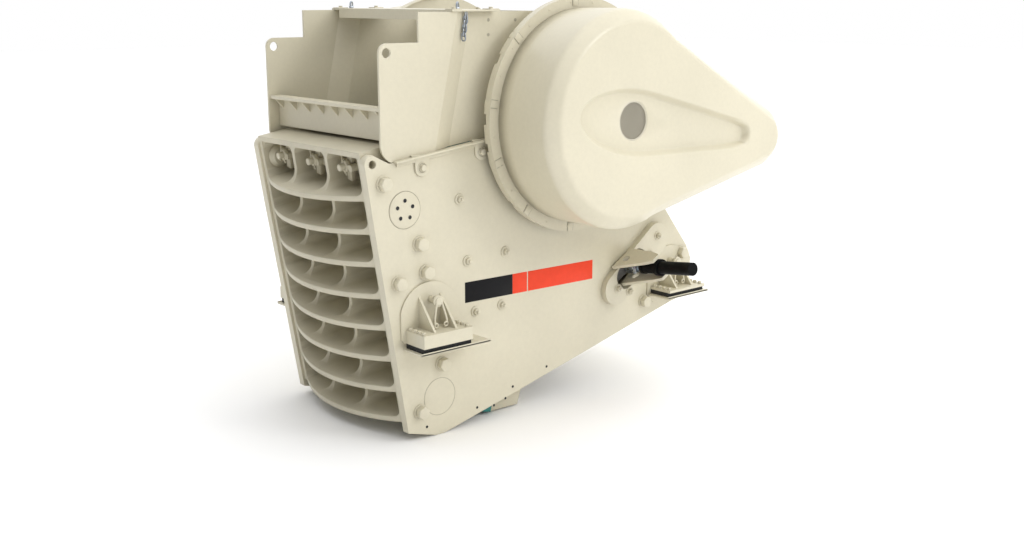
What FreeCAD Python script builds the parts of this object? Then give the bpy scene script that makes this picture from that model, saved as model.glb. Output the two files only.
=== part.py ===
import FreeCAD, Part
import math
import os
import Sketcher

# Jaw crusher. +X points from the ribbed front casting to the rear, +Y from the drive side to the far side.
# The origin is the centre of the four bracket feet, on the plane that they are bolted to.

DOC = FreeCAD.newDocument("jaw_crusher")
SHEET = DOC.addObject("Spreadsheet::Sheet", "sizes")
V = FreeCAD.Vector
PARTS = {}

SIZES = {
    # frame plates
    "jaw_width": 1280, "plate_thick": 60, "plate_top_lean": 0.119, "ear_radius": 60, "ear_hole": 27,
    "ear_x": -1585, "ear_z": 1240, "frame_bolt_hole": 24,
    # shaft line
    "shaft_x": 81, "shaft_z": 1451, "shaft_radius": 130, "journal_radius": 150, "journal_gap": 0.5,
    "boss_radius": 430, "housing_radius": 300, "housing_reach": 190,
    # front casting, measured down and back from its top front corner
    "casting_lean": 9.2, "casting_x": -1642, "casting_z": 1310, "casting_depth": 420, "casting_bow": 145,
    "back_wall": 110, "casting_rim": 36, "shelf_thick": 36, "top_row": 245, "row_pitch": 221.7,
    "web_thick": 34, "web_setback": 10, "web_sweep": 100, "pocket_round": 50,
    # jaw dies and cheek plates
    "die_thick": 100, "die_tooth": 30, "die_width": 1190, "cheek_thick": 30,
    "moving_lean": 12.4, "moving_x": -245, "moving_z": 1215, "moving_length": 1905,
    # pitman
    "head_radius": 380, "pitman_width": 1170, "pitman_foot": 260,
    # toggle line, measured from the toggle's front seat
    "toggle_tilt": 30, "toggle_x": -242, "toggle_z": -312, "toggle_length": 800, "toggle_radius": 45,
    "toggle_width": 1000, "seat_gap": 0.5, "seat_play": 3, "seat_half": 120, "seat_back_gap": 9.28,
    "slide_gap": 6, "wedge_length": 370, "wedge_thick": 200, "wedge_angle": 20, "wedge_half": 92,
    "wall_at": 1150, "rear_depth": 410, "rear_half": 235,
    # wedge rods and cylinders
    "rod_at": 1093, "rod_high": 40, "rod_tilt": 9.5, "rod_radius": 30, "clevis_radius": 50,
    "cylinder_radius": 48, "cylinder_start": 215, "cylinder_length": 525,
    "opening_radius": 98, "opening_run": 160, "opening_x": 667, "opening_z": 213, "bracket_thick": 50, "bracket_half": 122,
    "arm_thick": 24, "arm_root": 130, "arm_tip": 58,
    # drive guards
    "drum_radius": 740, "drum_chamfer": 87, "rim_width": 77, "rim_gap": 80, "rim_thick": 37,
    "drum_reach": 565, "drum_crown": 74, "guard_wall": 8, "belt_span_x": 1425, "belt_span_z": -212,
    "belt_tip": 222, "belt_depth": 330, "arm_step": 12,
    "flywheel_radius": 670, "flywheel_width": 340, "vent_radius": 133,
    # feed hopper
    "sheet_thick": 16, "sheet_gap": 0.3, "hopper_front": -1520, "hopper_top": 2170, "hopper_rear": -190,
    "hopper_step": 0, "lug_x": -1461, "lug_z": 1923, "notch_x": -1215, "notch_z": 1982,
    "lip_x": -1508, "lip_z": 1585, "lip_depth": 84, "gusset_pitch": 177, "gusset_count": 8,
    "deck_front": -955, "deck_depth": 400,
    # bracket feet
    "foot_span": 2330, "foot_length": 400, "foot_reach": 215, "base_thick": 12, "rubber_thick": 32,
    "front_block": 88, "rear_block": 20, "gusset_high": 225, "anchor_hole": 17, "anchor_out": 70,
    # drive motor
    "motor_radius": 235, "motor_length": 760,
}
"""All lengths in millimetres, angles in degrees."""

for row, (alias, value) in enumerate(SIZES.items(), start=1):
    SHEET.set(f"A{row}", str(value))
    SHEET.setAlias(f"A{row}", alias)
DOC.recompute()


class Size:
    """A number together with the sheet expression that gives it."""

    def __init__(self, value, text):
        self.value = value
        self.text = text

    def __add__(self, other):
        other = size(other)
        return Size(self.value + other.value, f"({self.text} + {other.text})")

    def __sub__(self, other):
        other = size(other)
        return Size(self.value - other.value, f"({self.text} - {other.text})")

    def __mul__(self, factor):
        factor = size(factor)
        return Size(self.value * factor.value, f"({self.text} * {factor.text})")

    def __truediv__(self, factor):
        factor = size(factor)
        return Size(self.value / factor.value, f"({self.text} / {factor.text})")

    def __neg__(self):
        return Size(-self.value, f"(-1 * {self.text})")

    __radd__ = __add__
    __rmul__ = __mul__

    def __rsub__(self, other):
        return size(other) - self


def size(thing):
    """A sheet value by its alias, or a plain number, as a Size."""
    if isinstance(thing, Size):
        return thing
    if isinstance(thing, str):
        return Size(float(SHEET.get(thing)), f"sizes.{thing}")
    return Size(float(thing), f"({float(thing):.9f})")


def tangent(alias):
    """The tangent of an angle held in the sheet."""
    angle = size(alias)
    return Size(math.tan(math.radians(angle.value)), f"tan({angle.text} * 1deg)")


def sine(alias):
    angle = size(alias)
    return Size(math.sin(math.radians(angle.value)), f"sin({angle.text} * 1deg)")


def cosine(alias):
    angle = size(alias)
    return Size(math.cos(math.radians(angle.value)), f"cos({angle.text} * 1deg)")


def bind(thing, prop, value):
    value = size(value)
    thing.setExpression(prop, value.text)


def place(thing, x=0, y=0, z=0, axis=None, angle=None):
    """Puts an object at a bound position, turned about an axis by a bound angle."""
    if axis is not None:
        thing.Placement = FreeCAD.Placement(V(0, 0, 0), FreeCAD.Rotation(V(*axis), size(angle).value))
        thing.setExpression("Placement.Rotation.Angle", f"{size(angle).text} * 1deg")
    for name, value in (("x", x), ("y", y), ("z", z)):
        bind(thing, f"Placement.Base.{name}", value)
    return thing


PLANES = {"XY": "XY_Plane", "XZ": "XZ_Plane", "YZ": "YZ_Plane"}


def new_body(name):
    return DOC.addObject("PartDesign::Body", name)


def sketch_on(body, plane, offset=0):
    """An empty sketch on one of the body's own planes, moved along that plane's normal."""
    sketch = body.newObject("Sketcher::SketchObject", body.Name + "_sketch")
    origin = [f for f in body.Origin.OriginFeatures if f.Role == PLANES[plane]][0]
    sketch.AttachmentSupport = [(origin, "")]
    sketch.MapMode = "FlatFace"
    bind(sketch, "AttachmentOffset.Base.z", offset)
    sketch.AttachmentOffset = FreeCAD.Placement(V(0, 0, size(offset).value), FreeCAD.Rotation())
    return sketch


def pin_point(sketch, curve, corner, x, y):
    """Holds one point of a curve at bound distances from the sketch's origin."""
    for kind, value in (("DistanceX", x), ("DistanceY", y)):
        value = size(value)
        row = sketch.addConstraint(Sketcher.Constraint(kind, -1, 1, curve, corner, value.value))
        sketch.setExpression(f"Constraints[{row}]", value.text)


def draw_outline(sketch, points):
    """A closed outline. A point is (x, y), or (x, y, mid_x, mid_y) where an arc through mid leads to the next."""
    points = [tuple(size(v) for v in p) for p in points]
    count = len(points)
    ends = []
    for i, p in enumerate(points):
        q = points[(i + 1) % count]
        start, end = V(p[0].value, p[1].value, 0), V(q[0].value, q[1].value, 0)
        if len(p) == 4:
            curve = Part.Arc(start, V(p[2].value, p[3].value, 0), end)
        else:
            curve = Part.LineSegment(start, end)
        sketch.addGeometry(curve, False)
        forward = sketch.getPoint(i, 1).distanceToPoint(start) < sketch.getPoint(i, 2).distanceToPoint(start)
        ends.append((1, 2) if forward else (2, 1))
    for i, p in enumerate(points):
        before = i - 1 if i else count - 1
        sketch.addConstraint(Sketcher.Constraint("Coincident", before, ends[before][1], i, ends[i][0]))
        pin_point(sketch, i, ends[i][0], p[0], p[1])
    return sketch


def draw_circles(sketch, circles):
    """Circles given as (x, y, radius), each bound."""
    for x, y, radius in circles:
        x, y, radius = size(x), size(y), size(radius)
        i = sketch.addGeometry(Part.Circle(V(x.value, y.value, 0), V(0, 0, 1), radius.value), False)
        pin_point(sketch, i, 3, x, y)
        row = sketch.addConstraint(Sketcher.Constraint("Radius", i, radius.value))
        sketch.setExpression(f"Constraints[{row}]", radius.text)
    return sketch


def pad(body, sketch, length, middle=False):
    feature = body.newObject("PartDesign::Pad", body.Name + "_pad")
    feature.Profile = sketch
    feature.Midplane = middle
    feature.Length = size(length).value
    bind(feature, "Length", length)
    return feature


def pocket(body, sketch, length=None, middle=False, reverse=False):
    """A cut along the sketch's normal, through everything where no length is given."""
    feature = body.newObject("PartDesign::Pocket", body.Name + "_pocket")
    feature.Profile = sketch
    feature.Midplane = middle
    feature.Reversed = reverse
    if length is None:
        feature.Type = "ThroughAll"
    else:
        feature.Length = size(length).value
        bind(feature, "Length", length)
    return feature


def prism(name, plane, points, length, offset=0, middle=False):
    """A body made by padding one closed outline."""
    body = new_body(name)
    pad(body, draw_outline(sketch_on(body, plane, offset), points), length, middle)
    return body


def box(name, low, high):
    """A box between two corners, each given as bound x, y, z."""
    thing = DOC.addObject("Part::Box", name)
    for prop, a, b in zip(("Length", "Width", "Height"), low, high):
        bind(thing, prop, size(b) - size(a))
    return place(thing, *low)


def rod(name, radius, length, start, axis="Y"):
    """A round bar from a start point along +X, +Y or +Z."""
    thing = DOC.addObject("Part::Cylinder", name)
    bind(thing, "Radius", radius)
    bind(thing, "Height", length)
    turns = {"X": ((0, 1, 0), 90), "Y": ((1, 0, 0), -90), "Z": ((0, 0, 1), 0)}
    about, angle = turns[axis]
    thing.Placement = FreeCAD.Placement(V(0, 0, 0), FreeCAD.Rotation(V(*about), angle))
    for prop, value in zip(("x", "y", "z"), start):
        bind(thing, f"Placement.Base.{prop}", value)
    return thing


def fuse(name, pieces):
    thing = DOC.addObject("Part::MultiFuse", name)
    thing.Shapes = pieces
    thing.Refine = True
    return thing


def cut(name, base, tool):
    thing = DOC.addObject("Part::Cut", name)
    thing.Base = base
    thing.Tool = tool
    thing.Refine = True
    return thing


def common(name, base, tool):
    thing = DOC.addObject("Part::Common", name)
    thing.Base = base
    thing.Tool = tool
    thing.Refine = True
    return thing


def mirrored(name, thing):
    """The same piece on the other side of the middle plane."""
    twin = DOC.addObject("Part::Mirroring", name)
    twin.Source = thing
    twin.Normal = V(0, 1, 0)
    return twin


def keep(node, thing):
    thing.Label = node
    PARTS[node] = thing
    return thing


def both_sides(node, thing):
    """Keeps a drive-side piece as NODE_left and its mirror image as NODE_right."""
    keep(node + "_left", thing)
    keep(node + "_right", mirrored(node + "_twin", thing))


INNER = size("jaw_width") / 2
OUTER = INNER + "plate_thick"


# ---------------------------------------------------------------- frame plates

FRONT_EDGE = ((-1631, 1148), (-1583, 831), (-1350, -590))
UNDERSIDE = ((-1120, -654), (-1045, -654), (-337, -484), (845, -187), (1205, -98))
REAR_EDGE = ((1415, -60), (1432, 230), (1378, 339), (1138, 635))
FRAME_BOLTS = (
    (-1510, 1112), (-1236, 693), (-1190, 496), (-1411, 452), (-1067, -156), (-1252, -457), (896, -41),
    (1309, 289),
)


def stadium(low, high, half):
    """A round-ended outline about the line between two points."""
    (x0, z0), (x1, z1) = low, high
    span = math.hypot(x1.value - x0.value, z1.value - z0.value)
    ax, az = half * ((x1.value - x0.value) / span), half * ((z1.value - z0.value) / span)
    return [(x0 - az, z0 + ax), (x1 - az, z1 + ax, x1 + ax, z1 + az), (x1 + az, z1 - ax),
            (x0 + az, z0 - ax, x0 - ax, z0 - az)]


FLANGE_SLOPE = (0.79, 0.613)


def opening(half):
    """The round-ended opening where a wedge's rod comes out of the frame."""
    low = (size("opening_x") - 16, size("opening_z") - 12)
    run = size("opening_run")
    return stadium(low, (low[0] + run * FLANGE_SLOPE[0], low[1] + run * FLANGE_SLOPE[1]), size(half))


def side_plate():
    """The thick plate with a lifting ear at the front top corner and a boss round the main bearing."""
    ear_x, ear_z, shaft_x, shaft_z = size("ear_x"), size("ear_z"), size("shaft_x"), size("shaft_z")
    ear = size("ear_radius")
    saddle = (ear_x + 128, ear_z - 5)
    boss_front = shaft_x - "boss_radius" + 20
    top_end = saddle[1] + (boss_front - saddle[0]) * "plate_top_lean"
    points = [(ear_x - ear, ear_z, ear_x - ear * 0.707, ear_z + ear * 0.707), (ear_x, ear_z + ear)]
    points += [saddle, (boss_front, top_end), (shaft_x, shaft_z), (shaft_x + 410, shaft_z - 30)]
    points += REAR_EDGE[::-1] + UNDERSIDE[::-1] + FRONT_EDGE[::-1]
    body = prism("side_plate", "XZ", points, "plate_thick", INNER)
    boss = draw_circles(sketch_on(body, "XZ", INNER), [(shaft_x, shaft_z, "boss_radius")])
    pad(body, boss, "plate_thick")
    holes = [(ear_x, ear_z, "ear_hole"), (shaft_x, shaft_z, "housing_radius")]
    holes += [(x, z, "frame_bolt_hole") for x, z in FRAME_BOLTS]
    pocket(body, draw_circles(sketch_on(body, "XZ", INNER - 10), holes), size("plate_thick") + 20, reverse=True)
    window = draw_outline(sketch_on(body, "XZ", INNER - 10), opening("opening_radius"))
    pocket(body, window, size("plate_thick") + 20, reverse=True)
    return body


both_sides("side_plate", side_plate())


# ---------------------------------------------------------------- front casting, modelled upright and then leaned

ROWS = 7
CASTING_HEIGHT = size("shelf_thick") * 2 + "top_row" + size("row_pitch") * ROWS


def lean_casting(thing):
    return place(thing, "casting_x", 0, "casting_z", (0, 1, 0), -size("casting_lean"))


def front_frame():
    """Eight rows of three pockets between bowed shelves, in front of one strong back wall."""
    bow, depth = size("casting_bow"), size("casting_depth")
    body = new_body("front_frame")
    inner = INNER - "casting_rim"
    plan = [(depth, -INNER), (0, -INNER), (0, -inner, -bow, 0), (0, inner), (0, INNER), (depth, INNER)]
    pad(body, draw_outline(sketch_on(body, "XY", -CASTING_HEIGHT), plan), CASTING_HEIGHT)
    web, shelf = size("web_thick"), size("shelf_thick")
    column = (inner * 2 - web * 2) / 3
    deep = depth - "back_wall"
    rounding = size("pocket_round")

    def row(top, high):
        sketch = sketch_on(body, "YZ", deep)
        for k in range(3):
            left = -inner + (column + web) * k
            draw_rounded(sketch, left, top - high, column, high, rounding)
        pocket(body, sketch, deep + bow + 10, reverse=False)
        scallop = sketch_on(body, "XZ", -inner + 1)
        sweep = size("web_sweep")
        foot = top - high
        points = [(-bow - 20, top), ("web_setback", top), ("web_setback", foot + sweep,
                  size("web_setback") - sweep * 0.293, foot + sweep * 0.293)]
        points += [(size("web_setback") - sweep, foot), (-bow - 20, foot)]
        draw_outline(scallop, points)
        pocket(body, scallop, inner * 2 - 2, reverse=True)

    row(-shelf, size("top_row"))
    ahead, under = -bow - 20, -shelf - 10
    straight_top = draw_outline(sketch_on(body, "XZ"), [(0, 10), (0, under), (ahead, under), (ahead, 10)])
    pocket(body, straight_top, INNER * 2, True)
    for k in range(ROWS):
        row(-shelf * 2 - "top_row" - size("row_pitch") * k, size("row_pitch") - shelf)
    return body


def draw_rounded(sketch, x, y, wide, high, radius):
    """A rectangle with rounded corners from its lower left corner."""
    x, y, wide, high, r = size(x), size(y), size(wide), size(high), size(radius).value
    x0, y0, x1, y1 = x.value, y.value, x.value + wide.value, y.value + high.value
    first = sketch.GeometryCount
    k = r * (1 - math.sqrt(0.5))
    lines = [((x0 + r, y0), (x1 - r, y0)), ((x1, y0 + r), (x1, y1 - r)), ((x1 - r, y1), (x0 + r, y1)),
             ((x0, y1 - r), (x0, y0 + r))]
    mids = [(x1 - k, y0 + k), (x1 - k, y1 - k), (x0 + k, y1 - k), (x0 + k, y0 + k)]
    for n in range(4):
        a, b = lines[n]
        c = lines[(n + 1) % 4][0]
        sketch.addGeometry(Part.LineSegment(V(*a, 0), V(*b, 0)), False)
        sketch.addGeometry(Part.Arc(V(*b, 0), V(*mids[n], 0), V(*c, 0)), False)
    for n in range(4):
        sketch.addConstraint(Sketcher.Constraint("Tangent", first + 2 * n, 2, first + 2 * n + 1, 1))
        sketch.addConstraint(Sketcher.Constraint("Tangent", first + 2 * n + 1, 2, first + (2 * n + 2) % 8, 1))
        if n:
            sketch.addConstraint(Sketcher.Constraint("Equal", first + 1, first + 2 * n + 1))
    sketch.addConstraint(Sketcher.Constraint("Horizontal", first))
    sketch.addConstraint(Sketcher.Constraint("Vertical", first + 2))
    sketch.addConstraint(Sketcher.Constraint("Horizontal", first + 4))
    sketch.addConstraint(Sketcher.Constraint("Vertical", first + 6))
    bound = [
        (Sketcher.Constraint("Radius", first + 1, r), size(radius)),
        (Sketcher.Constraint("DistanceY", -1, 1, first, 1, y0), y),
        (Sketcher.Constraint("DistanceX", -1, 1, first + 6, 1, x0), x),
        (Sketcher.Constraint("DistanceY", -1, 1, first + 4, 1, y1), y + high),
        (Sketcher.Constraint("DistanceX", -1, 1, first + 2, 1, x1), x + wide),
    ]
    for constraint, value in bound:
        n = sketch.addConstraint(constraint)
        sketch.setExpression(f"Constraints[{n}]", value.text)
    return sketch


keep("front_frame", lean_casting(front_frame()))


def tooth_plan(front, back, half, teeth, depth):
    """The plan outline of a jaw die whose face at front carries upright V ridges."""
    pitch = half * 2 / teeth
    points = [(back, -half), (front + depth, -half)]
    for k in range(teeth):
        points += [(front, -half + pitch * (k + 0.5)), (front + depth, -half + pitch * (k + 1))]
    return points + [(back, half)]


TEETH = 12


def fixed_die():
    face = size("casting_depth") + "die_thick"
    body = new_body("fixed_die")
    points = tooth_plan(face, size("casting_depth"), size("die_width") / 2, TEETH, -size("die_tooth"))
    pad(body, draw_outline(sketch_on(body, "XY", -CASTING_HEIGHT + 20), points), CASTING_HEIGHT - 60)
    return body


keep("fixed_jaw_die", lean_casting(fixed_die()))


# ---------------------------------------------------------------- pitman and moving die, on the shaft line

def moving_die():
    body = new_body("moving_die")
    thick = size("die_thick")
    points = tooth_plan(-thick, 0, size("die_width") / 2, TEETH, size("die_tooth"))
    pad(body, draw_outline(sketch_on(body, "XY", -size("moving_length")), points), "moving_length")
    place(body, size("moving_x") + thick, 0, "moving_z", (0, 1, 0), "moving_lean")
    return body


keep("moving_jaw_die", moving_die())


def along_toggle(s, n):
    """A point at s along and n across the toggle line, in the row's X and Z."""
    c, k = cosine("toggle_tilt"), sine("toggle_tilt")
    s, n = size(s), size(n)
    return size("toggle_x") + s * c - n * k, size("toggle_z") + s * k + n * c


def pitman():
    """The swinging jaw: a bearing head, a tapering body behind the die and a socket for the toggle."""
    back_x = size("moving_x") + "die_thick"
    top_z, length = size("moving_z"), size("moving_length")
    foot_z = top_z - length * cosine("moving_lean")
    foot_x = back_x - length * sine("moving_lean")
    high = 70
    points = [(back_x, top_z), (foot_x, foot_z)]
    points += [(foot_x + "pitman_foot", foot_z), along_toggle(0, -high), along_toggle(0, high)]
    points += [(-120, 420), ("shaft_x", size("shaft_z") - "head_radius" * size(0.97)), ("shaft_x", "shaft_z")]
    body = prism("pitman_body", "XZ", points, "pitman_width", 0, True)
    head = draw_circles(sketch_on(body, "XZ"), [("shaft_x", "shaft_z", "head_radius")])
    pad(body, head, "pitman_width", True)
    forward = (-300 * cosine("moving_lean"), 300 * sine("moving_lean"))
    front = [(back_x, top_z), (back_x + forward[0], top_z + forward[1])]
    front += [(foot_x + forward[0], foot_z + forward[1] - 60), (foot_x, foot_z)]
    pocket(body, draw_outline(sketch_on(body, "XZ"), front), size("pitman_width") + 20, True)
    bore = draw_circles(sketch_on(body, "XZ"), [("shaft_x", "shaft_z", size("journal_radius") + "journal_gap")])
    pocket(body, bore, size("pitman_width") + 20, True)
    seat_x, seat_z = along_toggle(0, 0)
    seat = draw_circles(sketch_on(body, "XZ"), [(seat_x, seat_z, size("toggle_radius") + "seat_gap")])
    pocket(body, seat, size("pitman_width") + 20, True)
    return body


keep("pitman", pitman())


def shaft():
    """The stepped shaft through the pitman head, both main bearings and both flywheels."""
    end = OUTER + "rim_gap" + "rim_thick" + "flywheel_width" + 70
    half = INNER - 20
    journal = rod("journal", "journal_radius", half * 2, ("shaft_x", -half, "shaft_z"))
    ends = rod("shaft_ends", "shaft_radius", end * 2, ("shaft_x", -end, "shaft_z"))
    return fuse("shaft", [journal, ends])


keep("eccentric_shaft", shaft())


def bearing_housing():
    """The round main bearing housing that fills the plate's bore, with a bolted flange outside."""
    start = -OUTER - "housing_reach" * size(0.45)
    barrel = rod("housing_barrel", "housing_radius", -size(start) - INNER, ("shaft_x", start, "shaft_z"))
    flange = rod("housing_flange", size("housing_radius") + 60, 35, ("shaft_x", -OUTER - 35, "shaft_z"))
    bore = rod("housing_bore", "shaft_radius", 600, ("shaft_x", -OUTER - 300, "shaft_z"))
    return cut("housing", fuse("housing_solid", [barrel, flange]), bore)


both_sides("bearing_housing", bearing_housing())


def cheek_plates():
    """The upper and lower side liners between the two dies, held on the frame plate's inner face."""
    tan = tangent("casting_lean")
    tan_m = tangent("moving_lean")

    def fixed_x(z):
        return size("casting_x") + (size("casting_z") - z) * tan + size("casting_depth") + "die_thick" + 30

    def moving_x(z):
        return size("moving_x") - (size("moving_z") - z) * tan_m + 60

    pieces = []
    for n, (top, low) in enumerate(((1180, 360), (354, -430))):
        points = [(fixed_x(size(top)), top), (moving_x(size(top)), top), (moving_x(size(low)), low),
                  (fixed_x(size(low)), low)]
        pieces.append(prism(f"cheek_{n}", "XZ", points, "cheek_thick", INNER - "cheek_thick"))
    compound = DOC.addObject("Part::Compound", "cheeks")
    compound.Links = pieces
    return compound


both_sides("cheek_plates", cheek_plates())


# ---------------------------------------------------------------- toggle line, modelled level and then tilted

def tilt_toggle(thing):
    return place(thing, "toggle_x", 0, "toggle_z", (0, 1, 0), -size("toggle_tilt"))


def toggle():
    half = size("toggle_width") / 2
    r, length = size("toggle_radius"), size("toggle_length")
    web = box("toggle_web", (0, -half, -r), (length, half, r))
    ends = [rod(f"toggle_end_{n}", r, half * 2, (x, -half, 0)) for n, x in enumerate((0, length))]
    return fuse("toggle", [web] + ends)


keep("toggle_plate", tilt_toggle(toggle()))

WEDGE_TAN = tangent("wedge_angle")
WEDGE_END = INNER - "slide_gap"


def toggle_seat():
    """The sliding rear seat: a socket in front, two slopes behind for the wedges."""
    back = size("wall_at") - "wedge_thick" - 0.5
    half = INNER - size("slide_gap") * 3
    slope = size("wedge_thick") - "seat_back_gap"
    flat = WEDGE_END - slope / WEDGE_TAN
    side = back + (WEDGE_END - half) * WEDGE_TAN
    front = size("toggle_length")
    points = [(front, -half), (side, -half), (back + slope, -flat), (back + slope, flat), (side, half)]
    points += [(front, half)]
    block = prism("seat_block", "XY", points, size("seat_half") * 2, -size("seat_half"))
    socket = rod("seat_socket", size("toggle_radius") + "seat_play", half * 2 + 20, (front, -half - 10, 0))
    return cut("seat", block, socket)


keep("toggle_seat", tilt_toggle(toggle_seat()))


def wedge():
    """The drive-side adjusting wedge, thick at its outer end."""
    wall = size("wall_at") - 0.5
    front = size("wall_at") - "wedge_thick"
    tip = -WEDGE_END + "wedge_length"
    points = [(wall, -WEDGE_END), (wall, tip), (front + size("wedge_length") * WEDGE_TAN, tip), (front, -WEDGE_END)]
    return prism("wedge", "XY", points, size("wedge_half") * 2, -size("wedge_half") + "rod_high" * size(0.4))


both_sides("wedge", tilt_toggle(wedge()))


def rear_frame():
    """The rear cross casting: a thick wall behind the wedges, two guiding ledges and pockets behind."""
    wall, depth, half = size("wall_at"), size("rear_depth"), size("rear_half")
    low = size("seat_half") + "slide_gap"
    section = [(wall, low), (wall - 230, low), (wall - 230, half), (wall + depth, half), (wall + depth, -half)]
    section += [(wall - 300, -half), (wall - 300, -low), (wall, -low)]
    body = new_body("rear_casting")
    pad(body, draw_outline(sketch_on(body, "XZ"), section), INNER * 2, True)
    rim, rib = 45, 40
    column = (INNER * 2 - rim * 2 - rib * 3) / 4
    high = (half * 2 - rim * 2 - rib) / 2
    sketch = sketch_on(body, "YZ", wall + 120)
    for k in range(4):
        for level in range(2):
            left = -INNER + rim + (column + rib) * k
            draw_rounded(sketch, left, -half + rim + (high + rib) * level, column, high, 35)
    pocket(body, sketch, depth, reverse=True)
    return body


keep("rear_frame", tilt_toggle(rear_frame()))


# ---------------------------------------------------------------- wedge rods, cylinders and their brackets

def along_rod(thing):
    """Turns a piece modelled along -Y from the rod's crossing with the plate's face onto the tilted rod line."""
    tilt = -size("rod_tilt")
    shift = DOC.addObject("Part::Compound", thing.Name + "_on_rod")
    shift.Links = [thing]
    place(shift, "rod_at", -OUTER, "rod_high", (1, 0, 0), tilt)
    seat = DOC.addObject("Part::Compound", thing.Name + "_in_frame")
    seat.Links = [shift]
    return tilt_toggle(seat)


def wedge_rod():
    """The rod from the wedge's outer end, with a forked clevis outside the plate."""
    inside = INNER - WEDGE_END + "plate_thick" - 18
    reach = size("cylinder_start") + "cylinder_length" * size(0.55)
    bar = rod("rod_bar", "rod_radius", reach + inside, (0, -reach, 0))
    clevis = rod("rod_clevis", "clevis_radius", 85, (0, -125, 0))
    return fuse("rod_solid", [bar, clevis])


def cylinder():
    """The hydraulic cylinder: a tube bored for the rod, a collar and an end cap."""
    start, length, r = size("cylinder_start"), size("cylinder_length"), size("cylinder_radius")
    tube = rod("tube", r, length, (0, -start - length, 0))
    collar = rod("tube_collar", r + 14, 40, (0, -start - 200, 0))
    gland = rod("tube_gland", r + 5, 30, (0, -start - 30, 0))
    trunnion = rod("tube_trunnion", 16, (r + 20) * 2, (0, -start - 170, -r - 20), "Z")
    bore = rod("tube_bore", size("rod_radius") + 1, length - 60, (0, -start - length + 60, 0))
    return cut("tube_solid", fuse("tube_outside", [tube, collar, gland, trunnion]), bore)


both_sides("wedge_rod", along_rod(wedge_rod()))
both_sides("adjusting_cylinder", along_rod(cylinder()))


def cylinder_bracket():
    """The stadium flange round the opening, with two arms out to the cylinder's collar."""
    low = (size("opening_x") - 110, size("opening_z") - 99)
    high = (low[0] + 545 * FLANGE_SLOPE[0], low[1] + 545 * FLANGE_SLOPE[1])
    flange = prism("bracket_flange", "XZ", stadium(low, high, size("bracket_half")), "bracket_thick", OUTER)
    window = draw_outline(sketch_on(flange, "XZ", OUTER - 5), opening(size("opening_radius")))
    pocket(flange, window, size("bracket_thick") + 20, reverse=True)
    reach = size("cylinder_start") + 190
    arms = []
    grip, root = size("cylinder_radius") + 20, -size("bracket_thick") + 12
    for n, level in enumerate((grip, -grip - "arm_thick")):
        outline = [(-size("arm_root"), root), (size("arm_root") - 30, root), (size("arm_tip"), -reach + 60),
                   (size("arm_tip") - 22, -reach), (22 - size("arm_tip"), -reach), (-size("arm_tip"), -reach + 60)]
        arm = prism(f"arm_{n}", "XY", outline, "arm_thick", level)
        lightening = draw_circles(sketch_on(arm, "XY", level - 5), [(-30, root - 70, 30)])
        pocket(arm, lightening, size("arm_thick") + 10, reverse=True)
        arms.append(arm)
    arms_solid = DOC.addObject("Part::Compound", "arms")
    arms_solid.Links = arms
    return fuse("bracket", [flange, along_rod(arms_solid)])


both_sides("cylinder_bracket", cylinder_bracket())


# ---------------------------------------------------------------- drive guards and flywheels

def tangent_outline(r1, r2, dx, dz):
    """The outline round two circles joined by their outer tangents, the first circle at the shaft line."""
    r1, r2, dx, dz = (size(v) for v in (r1, r2, dx, dz))
    span = math.hypot(dx.value, dz.value)
    base = math.atan2(dz.value, dx.value)
    open_angle = math.acos((r1.value - r2.value) / span)
    cx, cz = size("shaft_x"), size("shaft_z")

    def rim(centre, r, angle):
        return centre[0] + r * math.cos(angle), centre[1] + r * math.sin(angle)

    a, b = base + open_angle, base - open_angle
    first, second = (cx, cz), (cx + dx, cz + dz)
    return [
        rim(first, r1, a) + rim(first, r1, base + math.pi), rim(first, r1, b),
        rim(second, r2, b) + rim(second, r2, base), rim(second, r2, a),
    ]


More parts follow.
